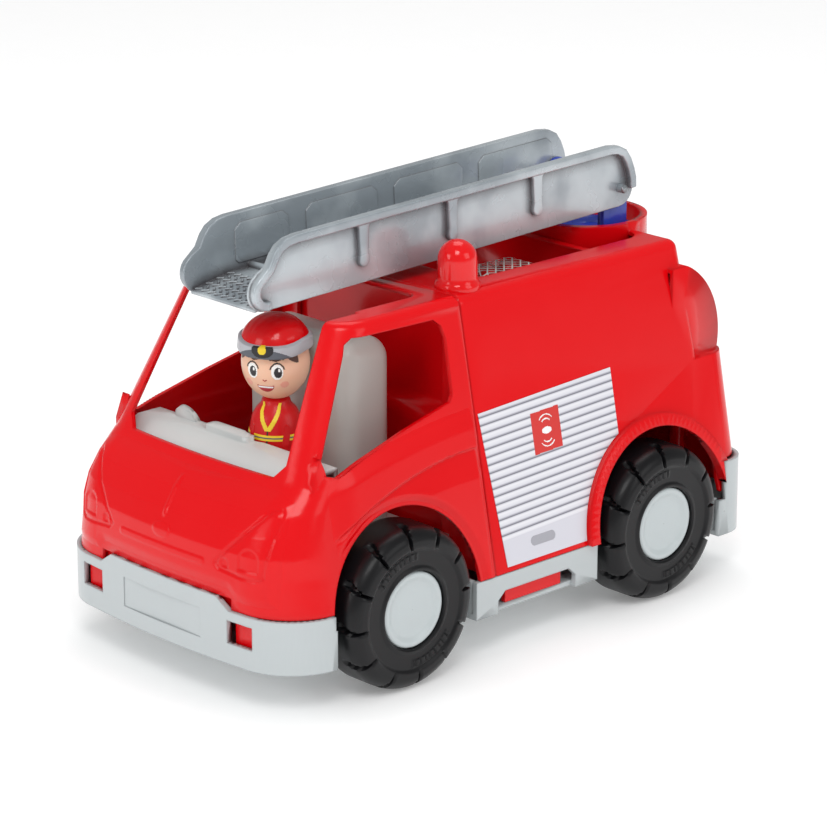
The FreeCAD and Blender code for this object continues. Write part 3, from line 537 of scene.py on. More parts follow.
def build_shells(sizes):
    red = plastic("red_shell_plastic", sizes.shell_red, rough=0.20, coat=0.12, edge=1.1, mottle=0.02, grain=0.008,
                  shine=0.25)
    smooth_copy("cab_shell", "cab_shell_smooth", BODY, red)
    smooth_copy("box_shell", "box_shell_smooth", BODY, red)
    smooth_copy("cargo_tray", "cargo_tray_smooth", BODY, red)
    cab = tree_of("cab_shell")
    nose = relief("nose_relief", cab, (-0.082, 0.082), (0.051, 0.1145), sizes.relief_step, from_front, nose_height)
    finish_piece(nose, BODY, red)
    low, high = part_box("front_left_tyre")
    arch_y, arch_z = (low.y + high.y) / 2 + 0.002, (low.z + high.z) / 2

    def fender(y, z):
        """Belt over a hollow band over the front arch: a sharp upper crease and a soft lower one."""
        radius = math.hypot(y - arch_y, z - arch_z)
        if radius < 0.0503 or z < 0.0435:
            return None
        upper = 0.1105 - 2.6 * (y + 0.030) ** 2 if y < -0.030 else 0.1105
        lower = 0.0950 - 1.2 * (y + 0.030) ** 2 if y < -0.030 else 0.0950
        window = 0.1320 - 1.15 * (y + 0.030) ** 2 - 0.035 * abs(y + 0.030)
        if z > window:
            return None
        above = z - upper
        belt = 0.0023 * ramp(above, -0.0006, 0.0005) * (1 - 0.75 * ramp(z, window - 0.012, window - 0.002))
        share = min(max((upper - z) / max(upper - lower, 0.001), 0.0), 1.0)
        band = (0.00035 + 0.0012 * share) * (1 - ramp(above, -0.0008, 0.0007))
        fade = ramp(radius, 0.0503, 0.056) * ramp(y, -0.136, -0.112) * (1 - ramp(y, -0.0290, -0.0272))
        fade *= 1 - ramp(z, window - 0.004, window)
        return HIDDEN + fade * (belt + band - HIDDEN)

    for side, name in ((1, "left"), (-1, "right")):
        shape = relief(f"{name}_fender_crease", cab, (-0.137, -0.0270), (0.0435, 0.133), sizes.relief_step,
                       from_side(side), fender)
        finish_piece(shape, BODY, red)
    grey = plastic("grey_chassis_plastic", sizes.chassis_grey, rough=0.30, coat=0.15, edge=1.2, mottle=0.02)
    smooth_copy("chassis_base", "chassis_base_smooth", BODY, grey)
    beacon_red = plastic("beacon_red_plastic", (0.72, 0.002, 0.004), rough=0.14, coat=0.5, shine=0.3, edge=0.6,
                         subsurface=0.15)
    low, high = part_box("beacon")
    middle = (low + high) / 2
    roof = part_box("cab_shell")[1].z
    height, foot = high.z - roof, (high.x - low.x) / 2
    dome = 0.87 * foot
    profile = [(-0.002, 0.001), (-0.002, foot * 0.98), (0.0008, foot), (0.0022, foot * 0.985), (0.0032, foot * 0.93),
               (0.0042, dome * 1.02), (0.006, dome)]
    start = height - dome
    profile.append((start, dome * 0.985))
    for k in range(1, 13):
        turn = math.pi / 2 * k / 12
        profile.append((start + dome * math.sin(turn), max(dome * 0.985 * math.cos(turn), 0.00005)))
    shape = lathe("beacon_dome", profile, Vector((middle.x, middle.y, roof)), "Z", 64)
    finish_piece(shape, BODY, beacon_red, ("beacon",))
    screws = plastic("screw_steel", (0.45, 0.45, 0.46), rough=0.35, metallic=1.0, edge=0.0)
    smooth_copy("body_screws", "body_screws_smooth", BODY, screws)


# ---------------------------------------------------------------- wheels
def tyre_change(side):
    bars = 12

    def change(along, radius, turn):
        outward = along * side
        across = ramp(outward, 0.002, 0.0145)
        phase = (turn * bars / (2 * math.pi) + 0.5 + 0.16 * across) % 1.0
        cut = 1 - ramp(abs(phase - 0.5), 0.020 + 0.050 * (1 - across), 0.050 + 0.050 * (1 - across))
        shoulder = ramp(outward, 0.000, 0.004) * ramp(radius, 0.0345, 0.0375)
        radius -= 0.0032 * cut * shoulder
        along -= side * 0.0026 * cut * ramp(radius, 0.0318, 0.0345) * ramp(outward, 0.0095, 0.0130)
        half = abs(((turn / math.pi * 180 + 70) % 180) - 45)
        raised = (1 - ramp(half, 27, 29)) * ramp(radius, 0.0262, 0.0268) * (1 - ramp(radius, 0.0300, 0.0306))
        pulse = ramp(abs(((half / 7.0) % 1.0) - 0.5), 0.10, 0.16)
        along += side * 0.0006 * raised * pulse * ramp(outward, 0.010, 0.0125)
        return along, radius
    return change


def build_wheels(sizes):
    rubber = plastic("tyre_plastic", (0.004, 0.004, 0.005), shine=0.3, rough=0.38, coat=0.05, edge=0.0, grain=0.12)
    grey = plastic("hub_grey_plastic", (0.48, 0.53, 0.54), rough=0.30, coat=0.2, edge=0.0, mottle=0.02)
    steel = plastic("axle_steel", (0.55, 0.55, 0.56), rough=0.3, metallic=1.0, edge=0.0)
    for end, body in (("front", FRONT_WHEELS), ("rear", REAR_WHEELS)):
        smooth_copy(f"{end}_axle", f"{end}_axle_smooth", body, steel)
        for name, side in (("left", 1), ("right", -1)):
            low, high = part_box(f"{end}_{name}_tyre")
            middle = (low + high) / 2
            half = (high.x - low.x) / 2
            r = (high.z - low.z) / 2
            pocket = -half + 0.0168
            shape = [(-half, 0.0090), (pocket, 0.0100), (pocket, 0.0325), (-half, 0.0345), (-half, r - 0.004),
                     (-half + 0.0006, r - 0.0022), (-half + 0.0022, r - 0.0006), (-half + 0.0042, r)]
            steps = 14
            for k in range(1, steps + 1):
                shape.append((-half + 0.0042 + (2 * half - 0.0132) * k / steps, r))
            edge = half - 0.0090
            for k in range(1, 13):
                turn = math.pi / 2 * k / 12
                shape.append((edge + 0.0085 * math.sin(turn), r - 0.0078 * (1 - math.cos(turn))))
            shape += [(half - 0.0002, r - 0.0090), (half - 0.0004, 0.0325), (half - 0.0010, 0.0318),
                      (half - 0.0014, 0.0312)]
            for k in range(1, 15):
                shape.append((half - 0.0014 - 0.0002 * k / 14, 0.0312 - 0.0076 * k / 14))
            shape += [(half - 0.0012, 0.0228), (half - 0.0008, 0.0222), (half - 0.0008, 0.0214),
                      (half - 0.0014, 0.0206), (half - 0.0030, 0.0202), (half - 0.0060, 0.0202),
                      (half - 0.0060, 0.0030)]
            profile = [(a * side, b) for a, b in shape]
            tyre = lathe(f"{end}_{name}_tyre_tread", profile, middle, "X", sizes.tyre_segments, tyre_change(side))
            finish_piece(tyre, body, rubber, (f"{end}_{name}_tyre",))
            low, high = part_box(f"{end}_{name}_hub_cap")
            middle = (low + high) / 2
            half, cap = (high.x - low.x) / 2, (high.z - low.z) / 2
            dish = [(-half, 0.0005), (-half, cap - 0.0008), (-half + 0.0010, cap)]
            for k in range(1, 7):
                turn = math.pi / 2 * k / 6
                dish.append((half - 0.0013 + 0.0013 * math.sin(turn), cap - 0.0016 * (1 - math.cos(turn))))
            dish += [(half, cap - 0.0026), (half - 0.0003, cap - 0.0034), (half - 0.0012, cap - 0.0048),
                     (half - 0.0016, cap - 0.0062), (half - 0.0013, cap - 0.0105), (half - 0.0010, cap * 0.2),
                     (half - 0.0010, 0.0002)]
            shape = lathe(f"{end}_{name}_hub_dish", [(a * side, b) for a, b in dish], middle, "X", 96)
            finish_piece(shape, body, grey, (f"{end}_{name}_hub_cap",))


# ---------------------------------------------------------------- ladder and turntable
def ladder_line(pivot, tilt):
    """Places a ladder point, given as (forward, up) from the pivot, in the row frame's (y, z)."""
    def place(forward, up):
        y, z = -forward, up
        return (pivot.y + y * math.cos(tilt) - z * math.sin(tilt), pivot.z + y * math.sin(tilt) + z * math.cos(tilt))
    return place


def rail_strip(name, path, x0, x1, depth, place):
    """A rounded strip that follows the rail's edge, as deep as depth inside it."""
    count = len(path)
    inner = []
    for k in range(count):
        a, b = path[max(k - 1, 0)], path[min(k + 1, count - 1)]
        span = math.hypot(b[0] - a[0], b[1] - a[1])
        inner.append((path[k][0] - (b[1] - a[1]) / span * depth, path[k][1] + (b[0] - a[0]) / span * depth))
    verts = []
    for (fa, ua), (fb, ub) in zip(path, inner):
        ya, za = place(fa, ua)
        yb, zb = place(fb, ub)
        verts += [(x0, ya, za), (x1, ya, za), (x1, yb, zb), (x0, yb, zb)]
    faces = [[0, 1, 2, 3], [4 * count - 4 + k for k in (3, 2, 1, 0)]]
    for k in range(count - 1):
        for c in range(4):
            d = (c + 1) % 4
            faces.append([4 * k + c, 4 * k + d, 4 * k + 4 + d, 4 * k + 4 + c])
    piece = mesh_piece(name, verts, faces)
    bevel = piece.modifiers.new("rounding", "BEVEL")
    bevel.width = 0.9 * MM
    bevel.segments = 4
    bevel.limit_method = "ANGLE"
    bevel.angle_limit = math.radians(50)
    return piece


def build_ladder(sizes):
    silver = silver_material()
    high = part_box("ladder")[1]
    pin_low, pin_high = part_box("ladder_pin")
    pivot = (pin_low + pin_high) / 2
    half = high.x
    tilt = math.radians(1.9)
    place = ladder_line(pivot, tilt)
    length, lobe, top = 0.256, 0.0105, 0.0255
    outline = [(-lobe * math.cos(math.radians(d)), lobe * math.sin(math.radians(d))) for d in range(-90, 30, 12)]
    outline += [(-0.0085, 0.0105), (-0.0060, 0.0165), (-0.0025, 0.0215), (0.0030, 0.0245), (0.0100, top),
                (length - 0.020, top), (length - 0.0135, 0.0247), (length - 0.0080, 0.0222), (length - 0.0045, 0.0185),
                (length - 0.0010, 0.0125), (length + 0.0045, 0.0098)]
    outline += [(length - lobe * math.cos(math.radians(d)), lobe * math.sin(math.radians(d)))
                for d in range(120, 271, 12)]
    flat = [place(f, u) for f, u in outline]
    pieces = []
    rail = 0.0050
    for side in (1, -1):
        x_web = side * (half - rail)
        x_face = side * (half - rail + 0.0014)
        pieces.append(slab("web", flat, min(x_web, x_face), max(x_web, x_face), 0.5))
        path = [(length - (lobe - 0.001) * math.cos(math.radians(d)), (lobe - 0.001) * math.sin(math.radians(d)))
                for d in range(285, 119, -15)]
        path += list(reversed([p for p in outline if p[1] > 0.0095 and p[0] < length + 0.004 and p[0] > -0.0090]))
        path += [(-0.0100, 0.0050), (-0.0100, -0.0010)]
        pieces.append(rail_strip("rim", path, side * half, x_web + side * 0.0004, 0.0046, place))
        bay = (length - 0.006) / 4
        for k in range(1, 4):
            f = bay * k + 0.003
            rib = [(f + 0.0058, top - 0.0030), (f - 0.0058, top - 0.0030), (f - 0.0034, top - 0.0060),
                   (f - 0.0027, 0.0060)]
            rib += [(f + 0.0034 * math.cos(math.radians(d)), 0.0020 + 0.0034 * math.sin(math.radians(d)))
                    for d in range(165, 376, 30)]
            rib += [(f + 0.0027, 0.0060), (f + 0.0034, top - 0.0060)]
            x0, x1 = x_web + side * 0.0009, side * (half - 0.0004)
            pieces.append(slab("rib", [place(a, b) for a, b in rib], min(x0, x1), max(x0, x1), 0.9, 4))
        for k in range(4):
            near, far = bay * k + (0.008 if k else 0.002), bay * (k + 1) - (0.004 if k < 3 else 0.018)
            pad = [(near, 0.0010), (near + 0.002, -0.001), (far - 0.002, -0.001), (far, 0.0010), (far, top - 0.0085),
                   (far - 0.004, top - 0.0050), (near + 0.004, top - 0.0050), (near, top - 0.0085)]
            x0, x1 = x_web - side * 0.0005, x_web + side * 0.0004
            pieces.append(slab("bay_pad", [place(a, b) for a, b in pad], min(x0, x1), max(x0, x1), 0.45, 3))
    front, floor = length - 0.020, -0.004
    span = half - rail + 0.0006
    deck = [place(0.014, floor), place(front, floor), place(front, floor - 0.0022), place(0.014, floor - 0.0022)]
    pieces.append(slab("deck", deck, -span, span, 0.6))
    slope = [place(front - 0.0005, floor), place(length + 0.006, floor - 0.0040), place(length + 0.006, floor - 0.0062),
             place(front - 0.0005, floor - 0.0022)]
    pieces.append(slab("slope", slope, -span, span, 0.6))
    for k in range(1, 14):
        f = 0.014 + 0.016 * k
        if f > front - 0.01:
            break
        y, z = place(f, floor + 0.0006)
        pieces.append(tube("rung", [Vector((-span, y, z)), Vector((span, y, z))], 0.0021))
    for row in range(7):
        f = front + 0.0015 + row * 0.0036
        for col in range(9):
            x = (col - 4) * 0.0050 + (0.0014 if row % 2 else -0.0014)
            lean = 0.0013 if row % 2 else -0.0013
            up = floor + 0.0002 - (f - front) / (length + 0.006 - front) * 0.0040
            a, b = place(f - 0.0014, up), place(f + 0.0014, up)
            pieces.append(tube("tread", [Vector((x - lean, *a)), Vector((x + lean, *b))], 0.00055, 4))
    ladder = join_pieces("ladder_rails", pieces)
    finish_piece(ladder, "ladder", silver, ("ladder",))
    steel = plastic("pin_steel", (0.55, 0.55, 0.56), rough=0.3, metallic=1.0, edge=0.0)
    smooth_copy("ladder_pin", "ladder_pin_smooth", "ladder", silver)
    blue = plastic("blue_plate_plastic", (0.02, 0.05, 0.42), rough=0.26, coat=0.3, edge=0.8)
    smooth_copy("turntable", "turntable_smooth", "turntable", blue)
    smooth_copy("turntable_clip", "turntable_clip_smooth", "turntable", steel)


# ---------------------------------------------------------------- interior
def build_interior(sizes):
    pale = plastic("interior_plastic", (0.62, 0.64, 0.63), rough=0.32, coat=0.2, edge=1.4, mottle=0.02)
    smooth_copy("cab_interior", "cab_interior_smooth", BODY, pale)
    low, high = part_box("seat_bench")
    seat = plastic("seat_plastic", (0.50, 0.49, 0.46), rough=0.36, coat=0.12, edge=0.0, mottle=0.03)
    count = 28
    verts, faces = [], []
    half_x, half_y = (high.x - low.x) / 2, (high.y - low.y) / 2
    mid = (low + high) / 2

    def ring(inset, z):
        points = []
        corner = max(0.010 - inset, 0.0006)
        for quarter in range(4):
            sx = 1 if quarter in (0, 3) else -1
            sy = 1 if quarter in (0, 1) else -1
            for k in range(count // 4 + 1):
                turn = math.pi / 2 * (quarter + k / (count // 4))
                cx, cy = half_x - inset - corner, half_y - inset - corner
                points.append(Vector((mid.x + sx * cx + corner * math.cos(turn),
                                      mid.y + sy * cy + corner * math.sin(turn), z)))
        return points

    levels = [(0.0, low.z)]
    rise = 0.012
    levels += [(0.0, high.z - rise)]
    levels += [(rise * (1 - math.cos(math.pi / 2 * k / 8)), high.z - rise + rise * math.sin(math.pi / 2 * k / 8))
               for k in range(1, 9)]
    rings = [ring(inset, z) for inset, z in levels]
    size = len(rings[0])
    for r in rings:
        verts += r
    for a in range(len(rings) - 1):
        for k in range(size):
            faces.append([a * size + k, a * size + (k + 1) % size, (a + 1) * size + (k + 1) % size, (a + 1) * size + k])
    faces.append([(len(rings) - 1) * size + k for k in range(size)])
    bench = mesh_piece("seat_bench_rounded", verts, faces, 40)
    finish_piece(bench, BODY, seat, ("seat_bench",))


# ---------------------------------------------------------------- figure
def figure_printer(piece, body, axis, radius, face_turn):
    """Function that prints a flat shape onto the piece. u runs round the figure from its nose, v is the height."""
    mesh = piece.data
    tree = BVHTree.FromPolygons([v.co.copy() for v in mesh.vertices], [list(p.vertices) for p in mesh.polygons])

    def around(u, v):
        turn = face_turn + u / radius
        outward = Vector((math.sin(turn), -math.cos(turn), 0))
        return Vector((axis.x, axis.y, v)) + outward * 0.06, -outward

    def decal(name, u_range, v_range, distance, material, thickness=PRINT_THICKNESS, detail=FIGURE_STEP):
        mark = relief(name, tree, u_range, v_range, detail, around,
                      lambda u, v: print_height(distance(u, v), thickness))
        finish_piece(mark, body, material)
    return decal


def figure_inks():
    """Flat printing inks, by name."""
    inks = {"dark": plastic("print_dark", PRINT_DARK, rough=0.4, edge=0.0, mottle=0.2),
            "brown": plastic("print_brown", (0.10, 0.045, 0.03), rough=0.4, edge=0.0, mottle=0.2)}
    for name, label, color in (
            ("white", "print_white", (0.88, 0.88, 0.86)), ("yellow", "print_yellow", (0.82, 0.60, 0.02)),
            ("mouth", "print_mouth", (0.42, 0.02, 0.03)), ("blush", "print_blush", (0.80, 0.36, 0.27)),
            ("grey", "print_grey", (0.10, 0.11, 0.13))):
        inks[name] = plastic(label, color, rough=0.4, edge=0.0)
    return inks


def print_eyes(on_face, eye_z, inks):
    """Eyes with their brows and cheeks, and the line of the nose."""
    for tag, side in (("left", 1), ("right", -1)):
        u0 = side * 0.0068
        on_face(f"eye_white_{tag}", (u0 - 0.0045, u0 + 0.0045), (eye_z - 0.006, eye_z + 0.006),
                lambda u, v, c=u0: ellipse(u, v, c, eye_z, 0.0033, 0.0042), inks["white"], 0.00010)
        on_face(f"eye_line_{tag}", (u0 - 0.0055, u0 + 0.0055), (eye_z - 0.001, eye_z + 0.008),
                lambda u, v, c=u0: 0.00042 - abs(math.hypot((u - c) / 0.0038, (v - eye_z) / 0.0046) - 1) * 0.0042
                if v > eye_z + 0.0012 else -0.001, inks["dark"], 0.00016)
        on_face(f"eye_dark_{tag}", (u0 - 0.0035, u0 + 0.0035), (eye_z - 0.005, eye_z + 0.005),
                lambda u, v, c=u0: ellipse(u, v, c + 0.0004, eye_z - 0.0003, 0.0022, 0.0029), inks["dark"], 0.00016)
        on_face(f"eye_glint_{tag}", (u0 - 0.0025, u0 + 0.0025), (eye_z - 0.002, eye_z + 0.004),
                lambda u, v, c=u0: ellipse(u, v, c + 0.0010, eye_z + 0.0010, 0.0007, 0.0009), inks["white"],
                0.00022, 0.0002)
        brow = [(u0 - 0.0038, eye_z + 0.0062), (u0, eye_z + 0.0074), (u0 + 0.0036, eye_z + 0.0064)]
        on_face(f"brow_{tag}", (u0 - 0.005, u0 + 0.005), (eye_z + 0.005, eye_z + 0.0086),
                lambda u, v, b=brow: 0.00050 - line_distance(u, v, b), inks["brown"])
        on_face(f"cheek_{tag}", (side * 0.0110 - 0.004, side * 0.0110 + 0.004), (eye_z - 0.0105, eye_z - 0.0035),
                lambda u, v, s=side: ellipse(u, v, s * 0.0110, eye_z - 0.0070, 0.0026, 0.0020), inks["blush"], 0.00008)
    nose = [(-0.0009, eye_z - 0.0044), (0.0, eye_z - 0.0052), (0.0011, eye_z - 0.0043)]
    on_face("nose_line", (-0.003, 0.003), (eye_z - 0.007, eye_z - 0.003),
            lambda u, v: 0.00034 - line_distance(u, v, nose), inks["mouth"])


def print_mouth(on_face, smile_z, inks):
    """An open smile with its teeth."""
    def smile(u, v):
        bowl = ellipse(u, v, 0.0, smile_z, 0.0052, 0.0036)
        return min(bowl, smile_z + 0.0003 + 10 * u * u - v)

    on_face("mouth", (-0.0065, 0.0065), (smile_z - 0.005, smile_z + 0.002), smile, inks["mouth"])
    on_face("teeth", (-0.005, 0.005), (smile_z - 0.003, smile_z + 0.002),
            lambda u, v: min(smile(u, v) - 0.0003, v - smile_z + 0.0012), inks["white"], 0.00018)


def print_fringe(on_face, brim, inks):
    """Hair in points below the hat."""
    def fringe(u, v):
        low_edge = brim - 0.0010 - 0.0030 * abs(math.sin(u * 260.0)) - 0.0015 * ramp(abs(u), 0.008, 0.014)
        return min(v - low_edge, 0.019 - abs(u))

    on_face("fringe", (-0.020, 0.020), (brim - 0.0075, brim + 0.0005), fringe, inks["brown"])


def print_hat(on_hat, brim, inks):
    """Peak line and badge on the hat's band."""
    def peak(u, v):
        return brim - 0.0012 + 0.0042 * (1 - (u / 0.0135) ** 2) - v if abs(u) < 0.0135 else -0.001

    on_hat("hat_peak", (-0.016, 0.016), (brim - 0.004, brim + 0.0042), peak, inks["grey"], 0.00015)
    on_hat("hat_badge", (-0.0065, 0.0065), (brim - 0.002, brim + 0.0075),
           lambda u, v: ellipse(u, v, 0, brim + 0.0026, 0.0052, 0.0040), inks["dark"], 0.00030)
    on_hat("hat_badge_mark", (-0.003, 0.003), (brim, brim + 0.006),
           lambda u, v: ellipse(u, v, 0, brim + 0.0027, 0.0020, 0.0024), inks["yellow"], 0.00042)


def print_jacket(on_coat, neck, foot, inks, sleeve_red):
    """Collar, belt and zip, and the low moulded arms with their gloves."""
    def vee(u, v):
        depth = neck - 0.0015 - v
        return 0.0019 - abs(abs(u) - (0.0112 - depth * 0.80)) if 0 < depth < 0.0140 else -0.001

    on_coat("collar", (-0.013, 0.013), (neck - 0.015, neck - 0.0012), vee, inks["yellow"], 0.00018)
    on_coat("belt", (-0.045, 0.045), (foot + 0.0215, foot + 0.0295),
            lambda u, v: 0.0014 - abs(v - foot - 0.0255), inks["yellow"], 0.00014)
    on_coat("belt_line", (-0.045, 0.045), (foot + 0.0225, foot + 0.0285),
            lambda u, v: 0.00030 - abs(v - foot - 0.0255), inks["grey"], 0.00022)
    zip_line = [(0.0, foot + 0.004), (0.0, neck - 0.014)]
    on_coat("zip", (-0.002, 0.002), (foot + 0.003, neck - 0.012),
            lambda u, v: 0.0005 - line_distance(u, v, zip_line), inks["dark"], 0.00012)
    for tag, side in (("left", 1), ("right", -1)):
        cuff = [(side * 0.0135, foot + 0.030), (side * 0.0090, foot + 0.014), (side * 0.0050, foot + 0.006)]
        on_coat(f"arm_{tag}", (side * 0.010 - 0.008, side * 0.010 + 0.008), (foot + 0.003, foot + 0.034),
                lambda u, v, c=cuff: 0.0022 - line_distance(u, v, c), sleeve_red, 0.00045)
        hand = (side * 0.0046, foot + 0.0045)
        on_coat(f"hand_{tag}", (hand[0] - 0.004, hand[0] + 0.004), (hand[1] - 0.004, hand[1] + 0.004),
                lambda u, v, h=hand: ellipse(u, v, h[0], h[1], 0.0026, 0.0026), inks["yellow"], 0.00075)


def build_figure(sizes):
    body_low, body_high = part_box("figure_body")
    head_low, head_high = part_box("figure_head")
    hat_low, hat_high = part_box("figure_helmet")
    axis = Vector(((head_low.x + head_high.x) / 2, (head_low.y + head_high.y) / 2, 0))
    neck, brim, crown = head_low.z, hat_low.z, hat_high.z
    jacket_red = plastic("jacket_red", (0.58, 0.004, 0.006), rough=0.34, coat=0.1, edge=0.0, shine=0.3)
    skin = plastic("doll_skin", (0.83, 0.50, 0.34), rough=0.38, coat=0.15, edge=0.0, mottle=0.03, subsurface=0.08)
    hat_red = plastic("hat_red", (0.66, 0.002, 0.004), rough=0.22, coat=0.3, edge=0.0, shine=0.3)
    hat_grey = plastic("hat_band_grey", (0.42, 0.43, 0.46), rough=0.34, coat=0.2, edge=0.0)
    radius = (body_high.x - body_low.x) / 2 - 0.0005
    foot = 0.092
    coat_shape = [(body_low.z, 0.0005), (body_low.z, radius - 0.002), (foot, radius - 0.002),
                  (foot + 0.001, radius - 0.0012), (foot + 0.008, radius - 0.0002), (foot + 0.013, radius),
                  (foot + 0.022, radius - 0.0004), (neck - 0.016, radius - 0.0018), (neck - 0.010, radius - 0.0030),
                  (neck - 0.006, radius - 0.0052), (neck - 0.0032, radius - 0.0078), (neck - 0.0012, 0.0072),
                  (neck, 0.0055)]
    jacket = lathe("figure_jacket", coat_shape, axis, "Z", 72)
    finish_piece(jacket, "figure_slider", jacket_red, ("figure_body",))
    head_radius = (head_high.x - head_low.x) / 2
    stretch = 1.12
    centre = neck + head_radius * stretch - 0.001
    shape = [(neck + 0.0001, 0.0003)]
    for k in range(33):
        z = neck + 0.0001 + (brim + 0.0005 - neck) * k / 32
        shape.append((z, head_radius * math.sqrt(max(1 - ((z - centre) / (head_radius * stretch)) ** 2, 0.0001))))
    head = lathe("figure_head_round", shape, axis, "Z", 96)
    finish_piece(head, "figure_top", skin, ("figure_head",))
    hat = head_radius + 0.0008
    rise = crown - brim
    dome = [(brim + 0.0005, hat - 0.003), (brim + 0.0005, hat)]
    for k in range(1, 21):
        turn = math.pi / 2 * k / 20
        dome.append((brim + 0.0005 + (rise - 0.0005) * math.sin(turn), max(hat * math.cos(turn), 0.0002)))
    top = lathe("figure_hat_dome", dome, axis, "Z", 96)
    finish_piece(top, "figure_top", hat_red, ("figure_helmet",))
    band = hat + 0.0010

    def visor(along, r, turn):
        lead = math.cos(turn - sizes.face_turn)
        return along - 0.0022 * ramp(lead, 0.2, 1.0), r + 0.0013 * ramp(lead, 0.2, 1.0) * (1 if r > hat else 0.4)

    strip = [(brim + 0.0004, hat - 0.002), (brim + 0.0002, band - 0.0004), (brim + 0.0010, band),
             (brim + 0.0058, band - 0.0006), (brim + 0.0066, band - 0.0014), (brim + 0.0068, hat - 0.003)]
    ring = lathe("figure_hat_band", strip, axis, "Z", 96, visor)
    finish_piece(ring, "figure_top", hat_grey)

    inks = figure_inks()
    on_face = figure_printer(head, "figure_top", axis, head_radius, sizes.face_turn)
    on_hat = figure_printer(ring, "figure_top", axis, head_radius, sizes.face_turn)
    on_coat = figure_printer(jacket, "figure_slider", axis, head_radius, sizes.face_turn)
    eye_z = centre - 0.0010
    print_eyes(on_face, eye_z, inks)
    print_mouth(on_face, eye_z - 0.0080, inks)
    print_fringe(on_face, brim, inks)
    print_hat(on_hat, brim, inks)
    print_jacket(on_coat, neck, foot, inks, jacket_red)


# ---------------------------------------------------------------- cargo
def build_cargo(sizes):
    red = plastic("brick_red_plastic", (0.70, 0.01, 0.01), rough=0.22, coat=0.4, edge=0.5)
    grey = plastic("brick_grey_plastic", (0.20, 0.22, 0.24), rough=0.26, coat=0.3, edge=0.5)
    smooth_copy("red_bricks", "red_bricks_smooth", BODY, red)
    smooth_copy("grey_bricks", "grey_bricks_smooth", BODY, grey)
    low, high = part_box("cargo_net")
    floor = low.z + 0.001
    nx, ny = 84, 74

    def support(x, y):
        """Height of a taut cloth over the bricks' tops, falling to the tray's floor at the edges."""
        best = floor
        for stack_x, stack_y, half, top in stacks:
            reach = max(abs(x - stack_x) - half, abs(y - stack_y) - half, 0.0)
            best = max(best, top - 0.75 * reach - 9.0 * reach * reach)
        return best

    bricks_low, bricks_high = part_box("red_bricks")
    grey_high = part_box("grey_bricks")[1]
    half = 0.0155
    far_x, near_x = bricks_low.x + half, bricks_high.x - half
    front_y, rear_y = bricks_low.y + half, bricks_high.y - half
    upper, lower = bricks_high.z + 0.0006, grey_high.z + 0.0006
    stacks = [(near_x, front_y, half, lower), (far_x, front_y, half, lower), (far_x, rear_y, half, lower),
              (near_x, rear_y, half, upper)]
    verts, grid = [], {}
    x0, x1 = low.x + 0.001, high.x - 0.001
    y0, y1 = low.y + 0.001, high.y - 0.001
    heights = [[support(x0 + (x1 - x0) * i / nx, y0 + (y1 - y0) * j / ny) for j in range(ny + 1)]
               for i in range(nx + 1)]
    for _ in range(10):        # each round lifts the cloth to its neighbours' mean, never below the bricks
        heights = [[max(heights[i][j] if 0 < i < nx and 0 < j < ny else 0,
                        0.25 * sum(heights[min(max(i + a, 0), nx)][min(max(j + b, 0), ny)]
                                   for a, b in ((1, 0), (-1, 0), (0, 1), (0, -1))))
                    for j in range(ny + 1)] for i in range(nx + 1)]
    for i in range(nx + 1):
        for j in range(ny + 1):
            x, y = x0 + (x1 - x0) * i / nx, y0 + (y1 - y0) * j / ny
            grid[i, j] = len(verts)
            verts.append((x, y, min(heights[i][j], high.z - 0.0012)))
    lengths = [0.0] * len(verts)
    across = [0.0] * len(verts)
    for i in range(nx + 1):
        for j in range(1, ny + 1):
            a, b = Vector(verts[grid[i, j - 1]]), Vector(verts[grid[i, j]])
            lengths[grid[i, j]] = lengths[grid[i, j - 1]] + (b - a).length
    for j in range(ny + 1):
        for i in range(1, nx + 1):
            a, b = Vector(verts[grid[i - 1, j]]), Vector(verts[grid[i, j]])
            across[grid[i, j]] = across[grid[i - 1, j]] + (b - a).length
    faces = [[grid[i, j], grid[i + 1, j], grid[i + 1, j + 1], grid[i, j + 1]] for i in range(nx) for j in range(ny)]
    mesh = bpy.data.meshes.new("cargo_net_cords")
    mesh.from_pydata(verts, [], faces)
    mesh.shade_smooth()
    layer = mesh.uv_layers.new(name="cloth")
    for loop in mesh.loops:
        layer.data[loop.index].uv = (across[loop.vertex_index], lengths[loop.vertex_index])
    net = add_object("cargo_net_cords", mesh)
    finish_piece(net, BODY, net_material(sizes.net_pitch), ("cargo_net",))


